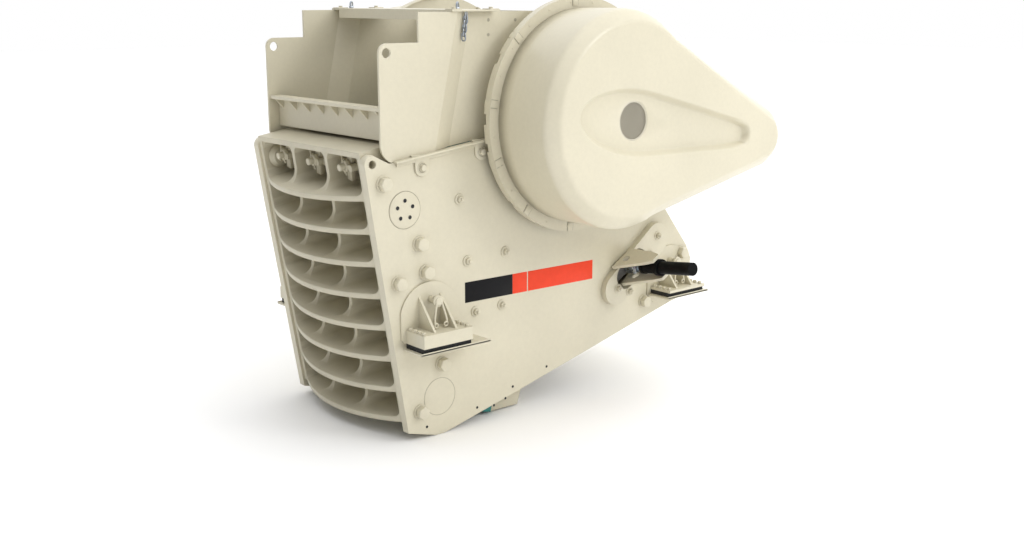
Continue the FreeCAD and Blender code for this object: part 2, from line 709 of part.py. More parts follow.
def guard_shell(name, with_belt):
    """A drum with a crowned face, hollow and open towards the machine, with the belt arm on the drive side."""
    edge = OUTER + "rim_gap" + "rim_thick"
    front = OUTER + "drum_reach"
    wall = size("guard_wall")

    def drum(tag, shrink, back, face):
        r = size("drum_radius") - shrink
        straight = rod(f"{name}_{tag}_drum", r, front - back, ("shaft_x", -front, "shaft_z"))
        crown = DOC.addObject("Part::Cone", f"{name}_{tag}_crown")
        bind(crown, "Radius1", r)
        bind(crown, "Radius2", size("drum_radius") - "drum_chamfer" - shrink)
        bind(crown, "Height", face)
        crown.Placement = FreeCAD.Placement(V(0, 0, 0), FreeCAD.Rotation(V(1, 0, 0), 90))
        for prop, value in zip("xyz", ("shaft_x", -front, "shaft_z")):
            bind(crown, f"Placement.Base.{prop}", value)
        pieces = [straight, crown]
        if with_belt:
            outline = tangent_outline(size("drum_radius") - "arm_step" - shrink, size("belt_tip") - shrink,
                                      "belt_span_x", "belt_span_z")
            arm = new_body(f"{name}_{tag}_arm")
            depth = size("belt_depth") - (shrink * 2)
            pad(arm, draw_outline(sketch_on(arm, "XZ", front - "belt_depth" + shrink), outline), depth)
            face_radius = size("drum_radius") - "drum_chamfer" - "arm_step" - shrink
            inner = tangent_outline(face_radius, size("belt_tip") - 80 - shrink, "belt_span_x", "belt_span_z")
            loft = arm.newObject("PartDesign::AdditiveLoft", f"{name}_{tag}_loft")
            loft.Profile = draw_outline(sketch_on(arm, "XZ", front - shrink), outline)
            loft.Sections = [draw_outline(sketch_on(arm, "XZ", front + face), inner)]
            pieces.append(arm)
        return fuse(f"{name}_{tag}", pieces)

    outside = drum("outside", size(0), edge, size("drum_crown"))
    inside = drum("inside", wall, edge - 30, size("drum_crown") - wall)
    hollow = cut(f"{name}_hollow", outside, inside)
    vent = rod(f"{name}_vent_hole", "vent_radius", 60, ("shaft_x", -front - "drum_crown" - 20, "shaft_z"))
    if not with_belt:
        return cut(name, hollow, vent)
    x, z = size("shaft_x") + "belt_span_x", size("shaft_z") + "belt_span_z"
    shaft_hole = rod(f"{name}_shaft_hole", 60, 60, (x, -front + "belt_depth" - 30, z))
    return cut(name, hollow, fuse(f"{name}_holes", [vent, shaft_hole]))


keep("guard_left", guard_shell("guard_drive", True))
keep("guard_right", mirrored("guard_far_twin", guard_shell("guard_far", False)))


def guard_rim():
    """The flat ring that carries the drum, held off the frame plate."""
    start = OUTER + "rim_gap"
    ring = rod("rim_ring", size("drum_radius") + "rim_width", "rim_thick", ("shaft_x", -start - "rim_thick", "shaft_z"))
    hole = rod("rim_hole", size("drum_radius") - "guard_wall" - 12, 200, ("shaft_x", -start - 150, "shaft_z"))
    spokes = []
    for n, (dx, dz) in enumerate(((-1, 0), (0, 1), (0.8, -0.6), (-0.6, -0.8))):
        post = rod(f"rim_post_{n}", 22, size("rim_gap") + 4,
                   (size("shaft_x") + size(dx) * 395, -start - 4, size("shaft_z") + size(dz) * 395))
        spokes.append(post)
    back = rod("rim_back", size("drum_radius") - 4, 8, ("shaft_x", -start - 12, "shaft_z"))
    open_hub = rod("rim_hub", size("shaft_radius") + 200, 60, ("shaft_x", -start - 40, "shaft_z"))
    disc = cut("rim_disc", back, open_hub)
    return fuse("rim", [cut("rim_open", ring, hole), disc] + spokes)


both_sides("guard_rim", guard_rim())


def flywheel():
    """A heavy rim on a web and hub."""
    start = OUTER + "rim_gap" + "rim_thick" + 30
    wide, r = size("flywheel_width"), size("flywheel_radius")
    disc = rod("wheel_disc", r, wide, ("shaft_x", -start - wide, "shaft_z"))
    recess = rod("wheel_recess", r - 130, wide, ("shaft_x", -start - wide * 1.35, "shaft_z"))
    hub = rod("wheel_hub", size("shaft_radius") + 90, wide * 0.7, ("shaft_x", -start - wide, "shaft_z"))
    bore = rod("wheel_bore", "shaft_radius", wide * 2, ("shaft_x", -start - wide * 1.5, "shaft_z"))
    return cut("wheel", fuse("wheel_solid", [cut("wheel_cup", disc, recess), hub]), bore)


both_sides("flywheel", flywheel())


def vent():
    face = OUTER + "drum_reach" + "drum_crown"
    return rod("vent", size("vent_radius"), 6, ("shaft_x", -face + 6, "shaft_z"))


both_sides("vent_grille", vent())


# ---------------------------------------------------------------- feed hopper

JOG_LEAN = 0.2196


def hopper_side():
    """A plate folded in two lines: wide at the feed end, stepped in behind to clear the drive guard."""
    sheet, step = size("sheet_thick"), size("plate_thick") + "hopper_step"
    low, top = size(1180), size("hopper_top") + 20
    jog = size("ear_x") + 493
    bend = 150

    def strip(z):
        x = jog + (z - size(1300)) * JOG_LEAN
        return [
            ("hopper_front", -OUTER), (x, -OUTER), (x + bend, -OUTER + step), ("hopper_rear", -OUTER + step),
            ("hopper_rear", -OUTER + step + sheet), (x + bend - 4, -OUTER + step + sheet),
            (x - 4, -OUTER + sheet), ("hopper_front", -OUTER + sheet),
        ]

    fold = new_body("hopper_fold")
    loft = fold.newObject("PartDesign::AdditiveLoft", "hopper_loft")
    loft.Profile = draw_outline(sketch_on(fold, "XY", low), strip(low))
    loft.Sections = [draw_outline(sketch_on(fold, "XY", top), strip(top))]
    loft.Ruled = True
    saddle = (size("ear_x") + 142, size("ear_z") + 1)
    rise = saddle[1] + (size("hopper_rear") - saddle[0]) * "plate_top_lean"
    front = size("hopper_front")
    points = [
        (front, size("ear_z") + 132, front + 22, size("ear_z") + 45), saddle, ("hopper_rear", rise),
        ("hopper_rear", "hopper_top"), ("notch_x", "hopper_top"), ("notch_x", "notch_z"),
        (front + 60, "notch_z", front + 17.6, size("notch_z") - 17.6), (front, size("notch_z") - 60),
    ]
    mask = prism("hopper_mask", "XZ", points, 200, OUTER - 150)
    hole = draw_circles(sketch_on(mask, "XZ", OUTER - 160), [("lug_x", "lug_z", 31)])
    pocket(mask, hole, 240, reverse=True)
    return common("hopper_side", mask, fold)


both_sides("hopper_side", hopper_side())


def hopper_rear_wall():
    half = INNER - "sheet_thick" - "sheet_gap"
    x, z = size("hopper_rear") - 130, size(1500)
    top = size("hopper_top")
    points = [(x, z), (x + 110, top), (x + 126, top), (x + 16, z)]
    return prism("hopper_back", "XZ", points, half * 2, 0, True)


keep("hopper_rear_wall", hopper_rear_wall())


def hopper_lip():
    """The transverse lip under the feeder: a thick flange, a back plate and a row of small gussets."""
    half = OUTER - "sheet_thick" - "sheet_gap"
    x, z, depth = size("lip_x"), size("lip_z"), size("lip_depth")
    flange = box("lip_flange", (x, -half, z - 25), (x + depth, half, z))
    back = box("lip_back", (x + depth - 16, -half, z - 217), (x + depth, half, z - 20))
    chute_points = [(x + depth - 16, z), (x + depth, z), (x + 330, z - 235), (x + 314, z - 235)]
    chute = prism("lip_chute", "XZ", chute_points, half * 2 - 150, 0, True)
    gussets = []
    first = -size("gusset_pitch") * (size("gusset_count") - 1) / 2
    for k in range(int(size("gusset_count").value)):
        points = [(x + 4, z - 25), (x + depth - 10, z - 25), (x + depth - 10, z - 102)]
        gussets.append(prism(f"lip_gusset_{k}", "XZ", points, 12, -(first + size("gusset_pitch") * k) - 6))
    return fuse("lip", [flange, back, chute] + gussets)


keep("hopper_lip", hopper_lip())


def hopper_deck():
    half = OUTER + 15
    x, z, depth = size("deck_front"), size("hopper_top"), size("deck_depth")
    plate = box("deck_plate", (x, -half, z), (x + depth, half, z + 12))
    beam = box("deck_beam", (x, -OUTER + 80, z - 55), (x + 12, OUTER - 80, z + 5))
    return fuse("deck", [plate, beam])


keep("hopper_deck", hopper_deck())


# ---------------------------------------------------------------- bracket feet

def foot(tag, end, block):
    """One bracket: a pad plate on the frame, a block, two gussets and a stub pin."""
    cx = size("foot_span") / 2 * end
    low = size("base_thick") + "rubber_thick"
    half, reach = size("foot_length") / 2, size("foot_reach")
    block = size(block)
    slab = box(f"{tag}_slab", (cx - half, -OUTER - reach, low), (cx + half, -OUTER, low + block))
    high = size("gusset_high")
    gussets = []
    for n, dx in enumerate((-95, 80)):
        points = [(-OUTER, low + block - 2), (-OUTER - reach + 30, low + block - 2), (-OUTER, low + block + high)]
        gussets.append(prism(f"{tag}_gusset_{n}", "YZ", points, 18, cx + dx))
    pin = rod(f"{tag}_pin", 24, 90, (cx + 5, -OUTER - 90, low + block + high * 0.8))
    z0 = low + block - 130
    outline = [
        (cx - 235, z0 + 70), (cx - 235, z0 + 250, cx, z0 + 430), (cx + 235, z0 + 250), (cx + 235, z0 + 70),
        (cx + 170, z0), (cx - 170, z0),
    ]
    plate = prism(f"{tag}_plate", "XZ", outline, 12, OUTER)
    hole = rod(f"{tag}_anchor", "anchor_hole", 400, (cx, -OUTER - "anchor_out", 0), "Z")
    return cut(f"{tag}_foot", fuse(f"{tag}_solid", [slab, plate, pin] + gussets), hole)


both_sides("foot_bracket_front", foot("front", -1, "front_block"))
both_sides("foot_bracket_rear", foot("rear", 1, "rear_block"))


def under_feet(name, low, high, front_longer, rear_longer, wider):
    """The four like plates under the brackets, each with its anchor hole."""
    pieces = []
    half, reach = size("foot_length") / 2, size("foot_reach")
    for end, longer in ((-1, front_longer), (1, rear_longer)):
        cx = size("foot_span") / 2 * end
        base = box(f"{name}_{end + 1}", (cx - half - wider, -OUTER - reach - wider + 20, low),
                   (cx + half + longer, -OUTER - 16, high))
        hole = rod(f"{name}_hole_{end + 1}", "anchor_hole", 400, (cx, -OUTER - "anchor_out", -50), "Z")
        piece = cut(f"{name}_cut_{end + 1}", base, hole)
        pieces += [piece, mirrored(f"{name}_twin_{end + 1}", piece)]
    compound = DOC.addObject("Part::Compound", name)
    compound.Links = pieces
    return compound


keep("base_plates", under_feet("bases", 0, "base_thick", 150, 35, 25))
keep("rubber_pads", under_feet("rubbers", "base_thick", size("base_thick") + "rubber_thick", 0, 0, 0))


# ---------------------------------------------------------------- tie bolts and motor

def tie_bolts():
    """The three long bolts that hold the fixed die, in the casting's top pockets."""
    pieces = []
    inner = INNER - "casting_rim"
    column = inner * 2 / 3
    deep = size("casting_depth") - "back_wall"
    level = -size("shelf_thick") - size("top_row") * 0.42
    for k in range(3):
        y = -inner + column * (k + 0.5)
        head = rod(f"tie_head_{k}", 62, 130, (deep - 130, y, level), "X")
        stem = rod(f"tie_stem_{k}", 24, 250, (deep - 250, y, level), "X")
        pieces.append(fuse(f"tie_{k}", [head, stem]))
    compound = DOC.addObject("Part::Compound", "ties")
    compound.Links = pieces
    return lean_casting(compound)


keep("tie_bolts", tie_bolts())

MOTOR_X = size("shaft_x") + "belt_span_x"
MOTOR_Z = size("shaft_z") + "belt_span_z"


def motor():
    """The drive motor behind the belt arm's tip, with feet and its belt pulley inside the guard."""
    start = -OUTER + 40
    r, length = size("motor_radius"), size("motor_length")
    frame = rod("motor_frame", r, length, (MOTOR_X, start, MOTOR_Z))
    neck = rod("motor_shaft", 38, 560, (MOTOR_X, start - 550, MOTOR_Z))
    pulley = rod("motor_pulley", 130, 200, (MOTOR_X, -OUTER - 510, MOTOR_Z))
    foot_box = box("motor_feet", (MOTOR_X - r, start + 90, MOTOR_Z - r - 30), (MOTOR_X + r, start + 600, MOTOR_Z - r + 60))
    return fuse("motor", [frame, neck, pulley, foot_box])


keep("motor", motor())


def motor_mount():
    """The bracket from the rear casting's top up to the motor's feet."""
    r = size("motor_radius")
    top = MOTOR_Z - r - 30
    points = [(MOTOR_X + r, top), (MOTOR_X - r - 40, top)]
    points += [along_toggle(size("wall_at") + 60, "rear_half"), along_toggle(size("wall_at") + "rear_depth", "rear_half")]
    points += [(MOTOR_X + r, top - 40)]
    web_a = prism("mount_web_0", "XZ", points, 30, INNER - 140)
    web_b = prism("mount_web_1", "XZ", points, 30, INNER - 620)
    table = box("mount_table", (MOTOR_X - r - 40, -INNER + 60, top - 30), (MOTOR_X + r, 60, top))
    return fuse("mount", [web_a, web_b, table])


keep("motor_mount", motor_mount())


# ---------------------------------------------------------------- check and write

DOC.recompute()
faults = [o.Name for o in DOC.Objects if "Invalid" in o.State or "Error" in o.State]
if faults:
    raise SystemExit("failed objects: " + ", ".join(faults))
for node, thing in PARTS.items():
    if thing.Shape.isNull() or not thing.Shape.isValid() or not thing.Shape.Solids:
        raise SystemExit("bad shape: " + node)
os.makedirs("parts", exist_ok=True)
for node, thing in PARTS.items():
    thing.Shape.exportStep(f"parts/{node}.step")
print(len(PARTS), "nodes")
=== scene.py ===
import math

import bmesh
import bpy
from mathutils import Matrix, Vector


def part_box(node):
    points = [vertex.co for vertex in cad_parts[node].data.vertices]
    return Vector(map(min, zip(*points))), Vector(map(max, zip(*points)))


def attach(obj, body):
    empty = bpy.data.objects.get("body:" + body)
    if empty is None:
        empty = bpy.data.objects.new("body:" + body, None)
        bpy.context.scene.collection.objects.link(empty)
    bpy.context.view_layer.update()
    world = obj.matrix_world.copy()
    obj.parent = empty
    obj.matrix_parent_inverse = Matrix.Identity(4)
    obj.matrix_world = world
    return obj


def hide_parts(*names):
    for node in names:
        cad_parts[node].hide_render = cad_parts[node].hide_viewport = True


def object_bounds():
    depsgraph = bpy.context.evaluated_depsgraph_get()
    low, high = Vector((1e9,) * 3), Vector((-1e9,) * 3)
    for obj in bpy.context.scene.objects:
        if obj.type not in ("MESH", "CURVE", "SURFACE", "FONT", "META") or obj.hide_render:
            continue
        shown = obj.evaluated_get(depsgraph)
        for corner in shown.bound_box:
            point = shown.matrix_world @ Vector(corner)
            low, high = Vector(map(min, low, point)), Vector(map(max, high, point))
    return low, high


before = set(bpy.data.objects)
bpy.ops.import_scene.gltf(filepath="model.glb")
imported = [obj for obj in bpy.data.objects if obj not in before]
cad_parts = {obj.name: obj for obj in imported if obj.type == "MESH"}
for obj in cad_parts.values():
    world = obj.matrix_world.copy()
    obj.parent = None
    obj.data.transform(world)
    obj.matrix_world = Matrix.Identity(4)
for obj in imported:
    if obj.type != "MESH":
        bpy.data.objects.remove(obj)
CAD_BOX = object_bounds()

# All lengths are in metres. +X runs from the ribbed front casting to the rear, -Y is the drive side.
# The depths of the guards and rims are read on the drive side, where they are negative.
PLATE_FACE = -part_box("side_plate_left")[0].y
SHAFT = (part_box("flywheel_left")[0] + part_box("flywheel_left")[1]) / 2
GUARD_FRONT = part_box("guard_left")[0].y
RIM_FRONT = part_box("guard_rim_left")[0].y
FLOOR_Z = CAD_BOX[0].z
SIDES = ((-1, "left"), (1, "right"))
SEATED = 0.001  # how far a head, nut or boss reaches into the face that carries it
UP = Vector((0, 0, 1))


# ---- materials

WHITE = (1.0, 1.0, 1.0)
IVORY = (0.668, 0.622, 0.480)


def tint(colour, factor):
    return tuple(c * factor for c in colour)


def grey(value):
    return (value,) * 3


def new_material(name, base, rough, metallic=0.0):
    """A material with its plain numbers on the shader's own sockets, its node tree and its shader."""
    material = bpy.data.materials.new(name)
    material.use_nodes = True
    shader = material.node_tree.nodes["Principled BSDF"]
    shader.inputs["Base Color"].default_value = (*base, 1)
    shader.inputs["Roughness"].default_value = rough
    shader.inputs["Metallic"].default_value = metallic
    return material, material.node_tree, shader


def noise(tree, scale, detail):
    """Noise laid out in the object's own metres."""
    place = tree.nodes.new("ShaderNodeTexCoord")
    texture = tree.nodes.new("ShaderNodeTexNoise")
    texture.inputs["Scale"].default_value = scale
    texture.inputs["Detail"].default_value = detail
    texture.inputs["Roughness"].default_value = 0.55
    tree.links.new(place.outputs["Object"], texture.inputs["Vector"])
    return texture.outputs["Fac"]


def ramp(tree, value, start, low, end, high):
    """A colour that goes from low to high as the value goes from start to end."""
    node = tree.nodes.new("ShaderNodeValToRGB")
    for element, place, colour in zip(node.color_ramp.elements, (start, end), (low, high)):
        element.position = place
        element.color = (*colour, 1)
    tree.links.new(value, node.inputs["Fac"])
    return node.outputs["Color"]


def mottle(tree, scale, detail, low, high, start=0.3, end=0.7):
    """Patches of a given scale that wander between two colours."""
    return ramp(tree, noise(tree, scale, detail), start, low, end, high)


def uneven_gloss(tree, shader, scale, detail, least, most):
    """Patches of a given scale whose roughness wanders between two values."""
    tree.links.new(mottle(tree, scale, detail, grey(least), grey(most)), shader.inputs["Roughness"])


def painted_corner_shade(tree, reach, dark, start, end):
    """Painted shade: white in the open, and a darker shade where other surfaces come within reach."""
    corner = tree.nodes.new("ShaderNodeAmbientOcclusion")
    corner.samples = 4
    corner.inputs["Distance"].default_value = reach
    return ramp(tree, corner.outputs["AO"], start, dark, end, WHITE)


def multiply(tree, first, second):
    """One colour multiplied by another."""
    node = tree.nodes.new("ShaderNodeMix")
    node.data_type = "RGBA"
    node.blend_type = "MULTIPLY"
    factor, first_colour, second_colour = node.inputs[0], node.inputs[6], node.inputs[7]
    factor.default_value = 1.0
    tree.links.new(first, first_colour)
    tree.links.new(second, second_colour)
    return node.outputs[2]


def bump(tree, shader, layers, edge=0.0):
    """Stacks bump layers, given as (height, distance, strength), over edges softened by a radius."""
    normal = None
    if edge:
        soft = tree.nodes.new("ShaderNodeBevel")
        soft.samples = 4
        soft.inputs["Radius"].default_value = edge
        normal = soft.outputs["Normal"]
    for height, distance, strength in layers:
        node = tree.nodes.new("ShaderNodeBump")
        node.inputs["Distance"].default_value = distance
        node.inputs["Strength"].default_value = strength
        tree.links.new(height, node.inputs["Height"])
        if normal:
            tree.links.new(normal, node.inputs["Normal"])
        normal = node.outputs["Normal"]
    tree.links.new(normal, shader.inputs["Normal"])


def paint(name, base, rough, peel, painted_shade, shine=0.5):
    """Sprayed paint: broad changes of tone, painted shade in the corners, uneven gloss and a fine orange-peel
    skin.
    """
    material, tree, shader = new_material(name, base, rough)
    broad = mottle(tree, 1.3, 3, tint(base, 0.965), tint(base, 1.03))
    fine = mottle(tree, 38.0, 6, grey(0.97), WHITE, start=0.35, end=0.65)
    colour = multiply(tree, broad, fine)
    # painted shade: the colour is darkened near inner corners, where less light reaches
    if painted_shade:
        colour = multiply(tree, colour, painted_corner_shade(tree, 0.09, grey(painted_shade), 0.25, 0.8))
    tree.links.new(colour, shader.inputs["Base Color"])
    uneven_gloss(tree, shader, 5.0, 3, rough - 0.02, rough + 0.04)
    shader.inputs["Specular IOR Level"].default_value = shine
    shader.inputs["Coat Weight"].default_value = 0.2 * shine
    shader.inputs["Coat Roughness"].default_value = 0.25
    skin = (noise(tree, 260.0, 2), 0.001, peel)
    waves = (noise(tree, 2.0, 1), 0.002, 0.02)
    bump(tree, shader, [skin, waves], edge=0.004)
    return material


def cast_paint(name, base):
    """Paint over sand-cast steel: a pebbled skin with soft dents and painted shade in the pockets."""
    material, tree, shader = new_material(name, base, 0.55)
    broad = mottle(tree, 3.0, 5, tint(base, 0.93), tint(base, 1.04))
    # painted shade: the colour is darkened in the pockets and inner corners
    pocket_shade = painted_corner_shade(tree, 0.16, (0.80, 0.78, 0.73), 0.15, 0.75)
    tree.links.new(multiply(tree, broad, pocket_shade), shader.inputs["Base Color"])
    uneven_gloss(tree, shader, 9.0, 5, 0.48, 0.62)
    pebbles = (noise(tree, 120.0, 5), 0.002, 0.25)
    dents = (noise(tree, 9.0, 3), 0.006, 0.18)
    bump(tree, shader, [pebbles, dents], edge=0.007)
    return material


def bare_metal(name, base, rough, streak):
    """Turned or ground metal with fine streaks and a few darker patches."""
    material, tree, shader = new_material(name, base, rough, metallic=1.0)
    patches = mottle(tree, 11.0, 6, tint(base, 0.7), tint(base, 1.1), start=0.35, end=0.65)
    tree.links.new(patches, shader.inputs["Base Color"])
    uneven_gloss(tree, shader, 45.0, 6, rough - 0.08, rough + 0.12)
    bump(tree, shader, [(noise(tree, 320.0, 3), 0.0006, streak)], edge=0.002)
    return material


def rubber(name):
    """Black rubber with a little pale dust on it."""
    material, tree, shader = new_material(name, (0.012, 0.013, 0.015), 0.62)
    uneven_gloss(tree, shader, 30.0, 5, 0.55, 0.75)
    dust = mottle(tree, 14.0, 6, (0.010, 0.011, 0.013), (0.035, 0.034, 0.031), start=0.5, end=0.85)
    tree.links.new(dust, shader.inputs["Base Color"])
    bump(tree, shader, [(noise(tree, 400.0, 2), 0.0006, 0.3)], edge=0.003)
    return material


def film(name, base):
    """Adhesive film: even colour, a little gloss variation and a faint skin."""
    material, tree, shader = new_material(name, base, 0.38)
    shader.inputs["Specular IOR Level"].default_value = 0.10
    shade = mottle(tree, 22.0, 4, tint(base, 0.96), tint(base, 1.03))
    tree.links.new(shade, shader.inputs["Base Color"])
    uneven_gloss(tree, shader, 12.0, 4, 0.33, 0.44)
    bump(tree, shader, [(noise(tree, 500.0, 2), 0.0004, 0.12)])
    return material


PAINT = paint("ivory_paint", IVORY, rough=0.36, peel=0.05, painted_shade=0.86)
SHELL = paint("ivory_shell", tint(IVORY, 1.04), rough=0.30, peel=0.03, painted_shade=0.74)
CASTING = cast_paint("ivory_casting", tint(IVORY, 0.92))
# darker ivory for seam lines, and painted shade in the gaps beside the rim straps, round the ear bolts and in
# the step holes
SEAM_AND_SHADE = paint("seam_shade", tint(IVORY, 0.62), rough=0.55, peel=0.05, painted_shade=0.0)
# painted shade: a dark rubber-like finish that stands for the shade inside holes and openings
DARK_HOLE = rubber("hole_shade")
MESH_WIRE = paint("mesh_wire", (0.66, 0.62, 0.51), rough=0.5, peel=0.1, painted_shade=0.0)
VENT_SHADE = paint("vent_shade", (0.42, 0.39, 0.32), rough=0.7, peel=0.1, painted_shade=0.0)
MANGANESE = cast_paint("manganese_steel", tint(IVORY, 0.84))
TEAL = paint("teal_paint", (0.02, 0.22, 0.20), rough=0.45, peel=0.08, painted_shade=0.7)
STEEL = bare_metal("machined_steel", (0.42, 0.46, 0.52), rough=0.30, streak=0.2)
IRON = bare_metal("grey_iron", (0.22, 0.22, 0.22), rough=0.50, streak=0.3)
BLACK = paint("black_paint", (0.006, 0.006, 0.0065), rough=0.45, peel=0.04, painted_shade=0.0, shine=0.06)
RUBBER = rubber("black_rubber")
COWL = paint("cowl_wire", (0.05, 0.05, 0.05), rough=0.5, peel=0.04, painted_shade=0.0, shine=0.15)
STRIP_BLACK = film("label_black", (0.010, 0.010, 0.011))
STRIP_RED = film("label_red", (0.86, 0.075, 0.035))


# ---- mesh helpers

def turns(count):
    """Angles spaced evenly round a full turn."""
    return [2 * math.pi * k / count for k in range(count)]


def skin(bm, rings, wrap=False):
    """Joins each ring of vertices to the next. A ring of one vertex is a tip."""
    pairs = list(zip(rings, rings[1:])) + ([(rings[-1], rings[0])] if wrap else [])
    for low, high in pairs:
        for k in range(max(len(low), len(high))):
            corners = [ring[j % len(ring)] for ring, j in ((low, k), (low, k + 1), (high, k + 1), (high, k))]
            bm.faces.new(list(dict.fromkeys(corners)))


class Build:
    """A bmesh that gathers simple solids into one piece. An index names the material of each solid."""

    def __init__(self):
        self.bm = bmesh.new()

    def merge(self, other, matrix, index):
        other.transform(matrix)
        mesh = bpy.data.meshes.new("part")
        for face in other.faces:
            face.material_index = index
        other.to_mesh(mesh)
        other.free()
        self.bm.from_mesh(mesh)
        bpy.data.meshes.remove(mesh)

    def solid(self, bm, rings, matrix, index, wrap=False):
        """The solid inside a row of rings, closed at both ends unless the row wraps round."""
        skin(bm, rings, wrap)
        for ring in () if wrap else (rings[0], rings[-1]):
            if len(ring) > 1:
                bm.faces.new(ring)
        bmesh.ops.recalc_face_normals(bm, faces=bm.faces)
        self.merge(bm, matrix, index)

    def turned(self, profile, matrix, sides=32, index=0):
        """A solid turned about local Z from (radius, height) points."""
        bm = bmesh.new()
        rings = []
        for radius, height in profile:
            angles = turns(sides) if radius else [0.0]
            rings.append([bm.verts.new((radius * math.cos(t), radius * math.sin(t), height)) for t in angles])
        self.solid(bm, rings, matrix, index)

    def block(self, low, high, matrix=Matrix(), round_by=0.003, index=0):
        """A box with softened edges."""
        bm = bmesh.new()
        bmesh.ops.create_cube(bm, size=1)
        size = Vector(high) - Vector(low)
        bmesh.ops.scale(bm, vec=size, verts=bm.verts)
        bmesh.ops.translate(bm, vec=(Vector(low) + Vector(high)) / 2, verts=bm.verts)
        if round_by:
            bmesh.ops.bevel(bm, geom=bm.edges, offset=min(round_by, 0.3 * min(size)), segments=2,
                            profile=0.5, affect="EDGES")
        self.merge(bm, matrix, index)

    def slab(self, outline, thick, matrix=Matrix(), round_by=0.003, index=0):
        """A flat plate from an outline in local XY, standing on local Z = 0."""
        bm = bmesh.new()
        face = bm.faces.new([bm.verts.new((x, y, 0)) for x, y in outline])
        grown = bmesh.ops.extrude_face_region(bm, geom=[face])
        top = [v for v in grown["geom"] if isinstance(v, bmesh.types.BMVert)]
        bmesh.ops.translate(bm, vec=(0, 0, thick), verts=top)
        bmesh.ops.recalc_face_normals(bm, faces=bm.faces)
        rims = [e for e in bm.edges if abs(e.verts[0].co.z - e.verts[1].co.z) < 1e-6]
        bmesh.ops.bevel(bm, geom=rims, offset=min(round_by, thick * 0.4), segments=2, profile=0.5,
                        affect="EDGES")
        self.merge(bm, matrix, index)

    def swept(self, path, radius, sides=10, closed=False, matrix=Matrix(), index=0):
        """A round bar along a path of points."""
        bm = bmesh.new()
        points = [Vector(p) for p in path]
        count = len(points)
        rings = []
        normal = None
        for k, point in enumerate(points):
            if closed:
                along = points[(k + 1) % count] - points[k - 1]
            else:
                along = points[min(k + 1, count - 1)] - points[max(k - 1, 0)]
            along.normalize()
            if normal is None:
                normal = along.orthogonal().normalized()
            normal = (normal - along * normal.dot(along)).normalized()
            across = along.cross(normal)
            rings.append([
                bm.verts.new(point + radius * (math.cos(t) * normal + math.sin(t) * across))
                for t in turns(sides)
            ])
        self.solid(bm, rings, matrix, index, wrap=closed)

    def done(self, name, materials, smooth=40.0):
        """The finished piece: linked, painted, shaded smooth up to an angle and riding on the frame."""
        mesh = bpy.data.meshes.new(name)
        self.bm.to_mesh(mesh)
        self.bm.free()
        obj = bpy.data.objects.new(name, mesh)
        bpy.context.scene.collection.objects.link(obj)
        for material in materials:
            mesh.materials.append(material)
        for polygon in mesh.polygons:
            polygon.use_smooth = True
        mesh.set_sharp_from_angle(angle=math.radians(smooth))
        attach(obj, "frame")
        return obj


def facing(place, direction, turn=0.0):
    """A frame at a place whose Z runs along a direction, turned about it by degrees."""
    rotation = Vector(direction).to_track_quat("Z", "Y").to_matrix().to_4x4()
    return Matrix.Translation(place) @ rotation @ Matrix.Rotation(math.radians(turn), 4, "Z")


def outward(side):
    """The direction away from the machine's middle on one side."""
    return Vector((0, side, 0))


def on_side(side, x, out, z):
    """A frame on an upright face of one side: X to the rear, Y up, Z outward."""
    return Matrix(((1, 0, 0, x), (0, 0, side, side * out), (0, 1, 0, z), (0, 0, 0, 1)))


def on_drum(centre, degrees, side=1):
    """A frame on a drum that lies across the machine: X along its wall, Y along its axis, Z outward."""
    t = math.radians(degrees)
    out = Vector((math.cos(t), 0, math.sin(t)))
    along = Vector((-math.sin(t), 0, math.cos(t)))
    return Matrix((
        (along.x, 0, out.x, centre.x), (0, side, 0, 0), (along.z, 0, out.z, centre.z), (0, 0, 0, 1),
    ))


def circle(centre, radius, count):
    """Points round a circle that faces one side of the machine."""
    return [centre + Vector((radius * math.cos(t), 0, radius * math.sin(t))) for t in turns(count)]


def arc(centre, radius, start, end, count):
    """Points on an arc in a plane, angles in degrees."""
    for k in range(count + 1):
        angle = math.radians(start + (end - start) * k / count)
        yield centre[0] + radius * math.cos(angle), centre[1] + radius * math.sin(angle)


def round_profile(radius, height, edge):
    """The (radius, height) points of a round head with a rounded top edge."""
    points = [(radius, 0.0)]
    for k in range(5):
        angle = math.pi / 2 * k / 4
        points.append((radius - edge + edge * math.cos(angle), height - edge + edge * math.sin(angle)))
    return points + [(0.0, height)]


def disc_profile(radius, thick):
    """The (radius, height) points of a plain disc."""
    return [(radius, 0), (radius, thick), (0, thick)]


def hexagon(radius):
    return [(radius * math.cos(math.pi / 3 * k), radius * math.sin(math.pi / 3 * k)) for k in range(6)]


def hex_bolt(build, place, direction, size, high, turn=0.0, washer=0.0):
    """A hexagon head with softened corners, over a washer that is so many times its size."""
    start = Vector(place)
    washer_high = high * 0.22
    if washer:
        build.turned(round_profile(size * washer, washer_high, high * 0.05), facing(start, direction))
        start = start + Vector(direction).normalized() * washer_high
    build.slab(hexagon(size), high, facing(start, direction, turn), high * 0.14)


def stud(build, place, direction, washer, nut, thread, turn, sides):
    """A washer, a nut and the thread's end. A washer and a thread are a radius, a height and an edge."""
    washer_sides, thread_sides = sides
    build.turned(round_profile(*washer), facing(place, direction), washer_sides)
    nut_radius, nut_high = nut
    build.slab(hexagon(nut_radius), nut_high, facing(place + direction * washer[1], direction, turn))
    build.turned(round_profile(*thread), facing(place, direction), thread_sides)


# ---- the CAD nodes' own finish

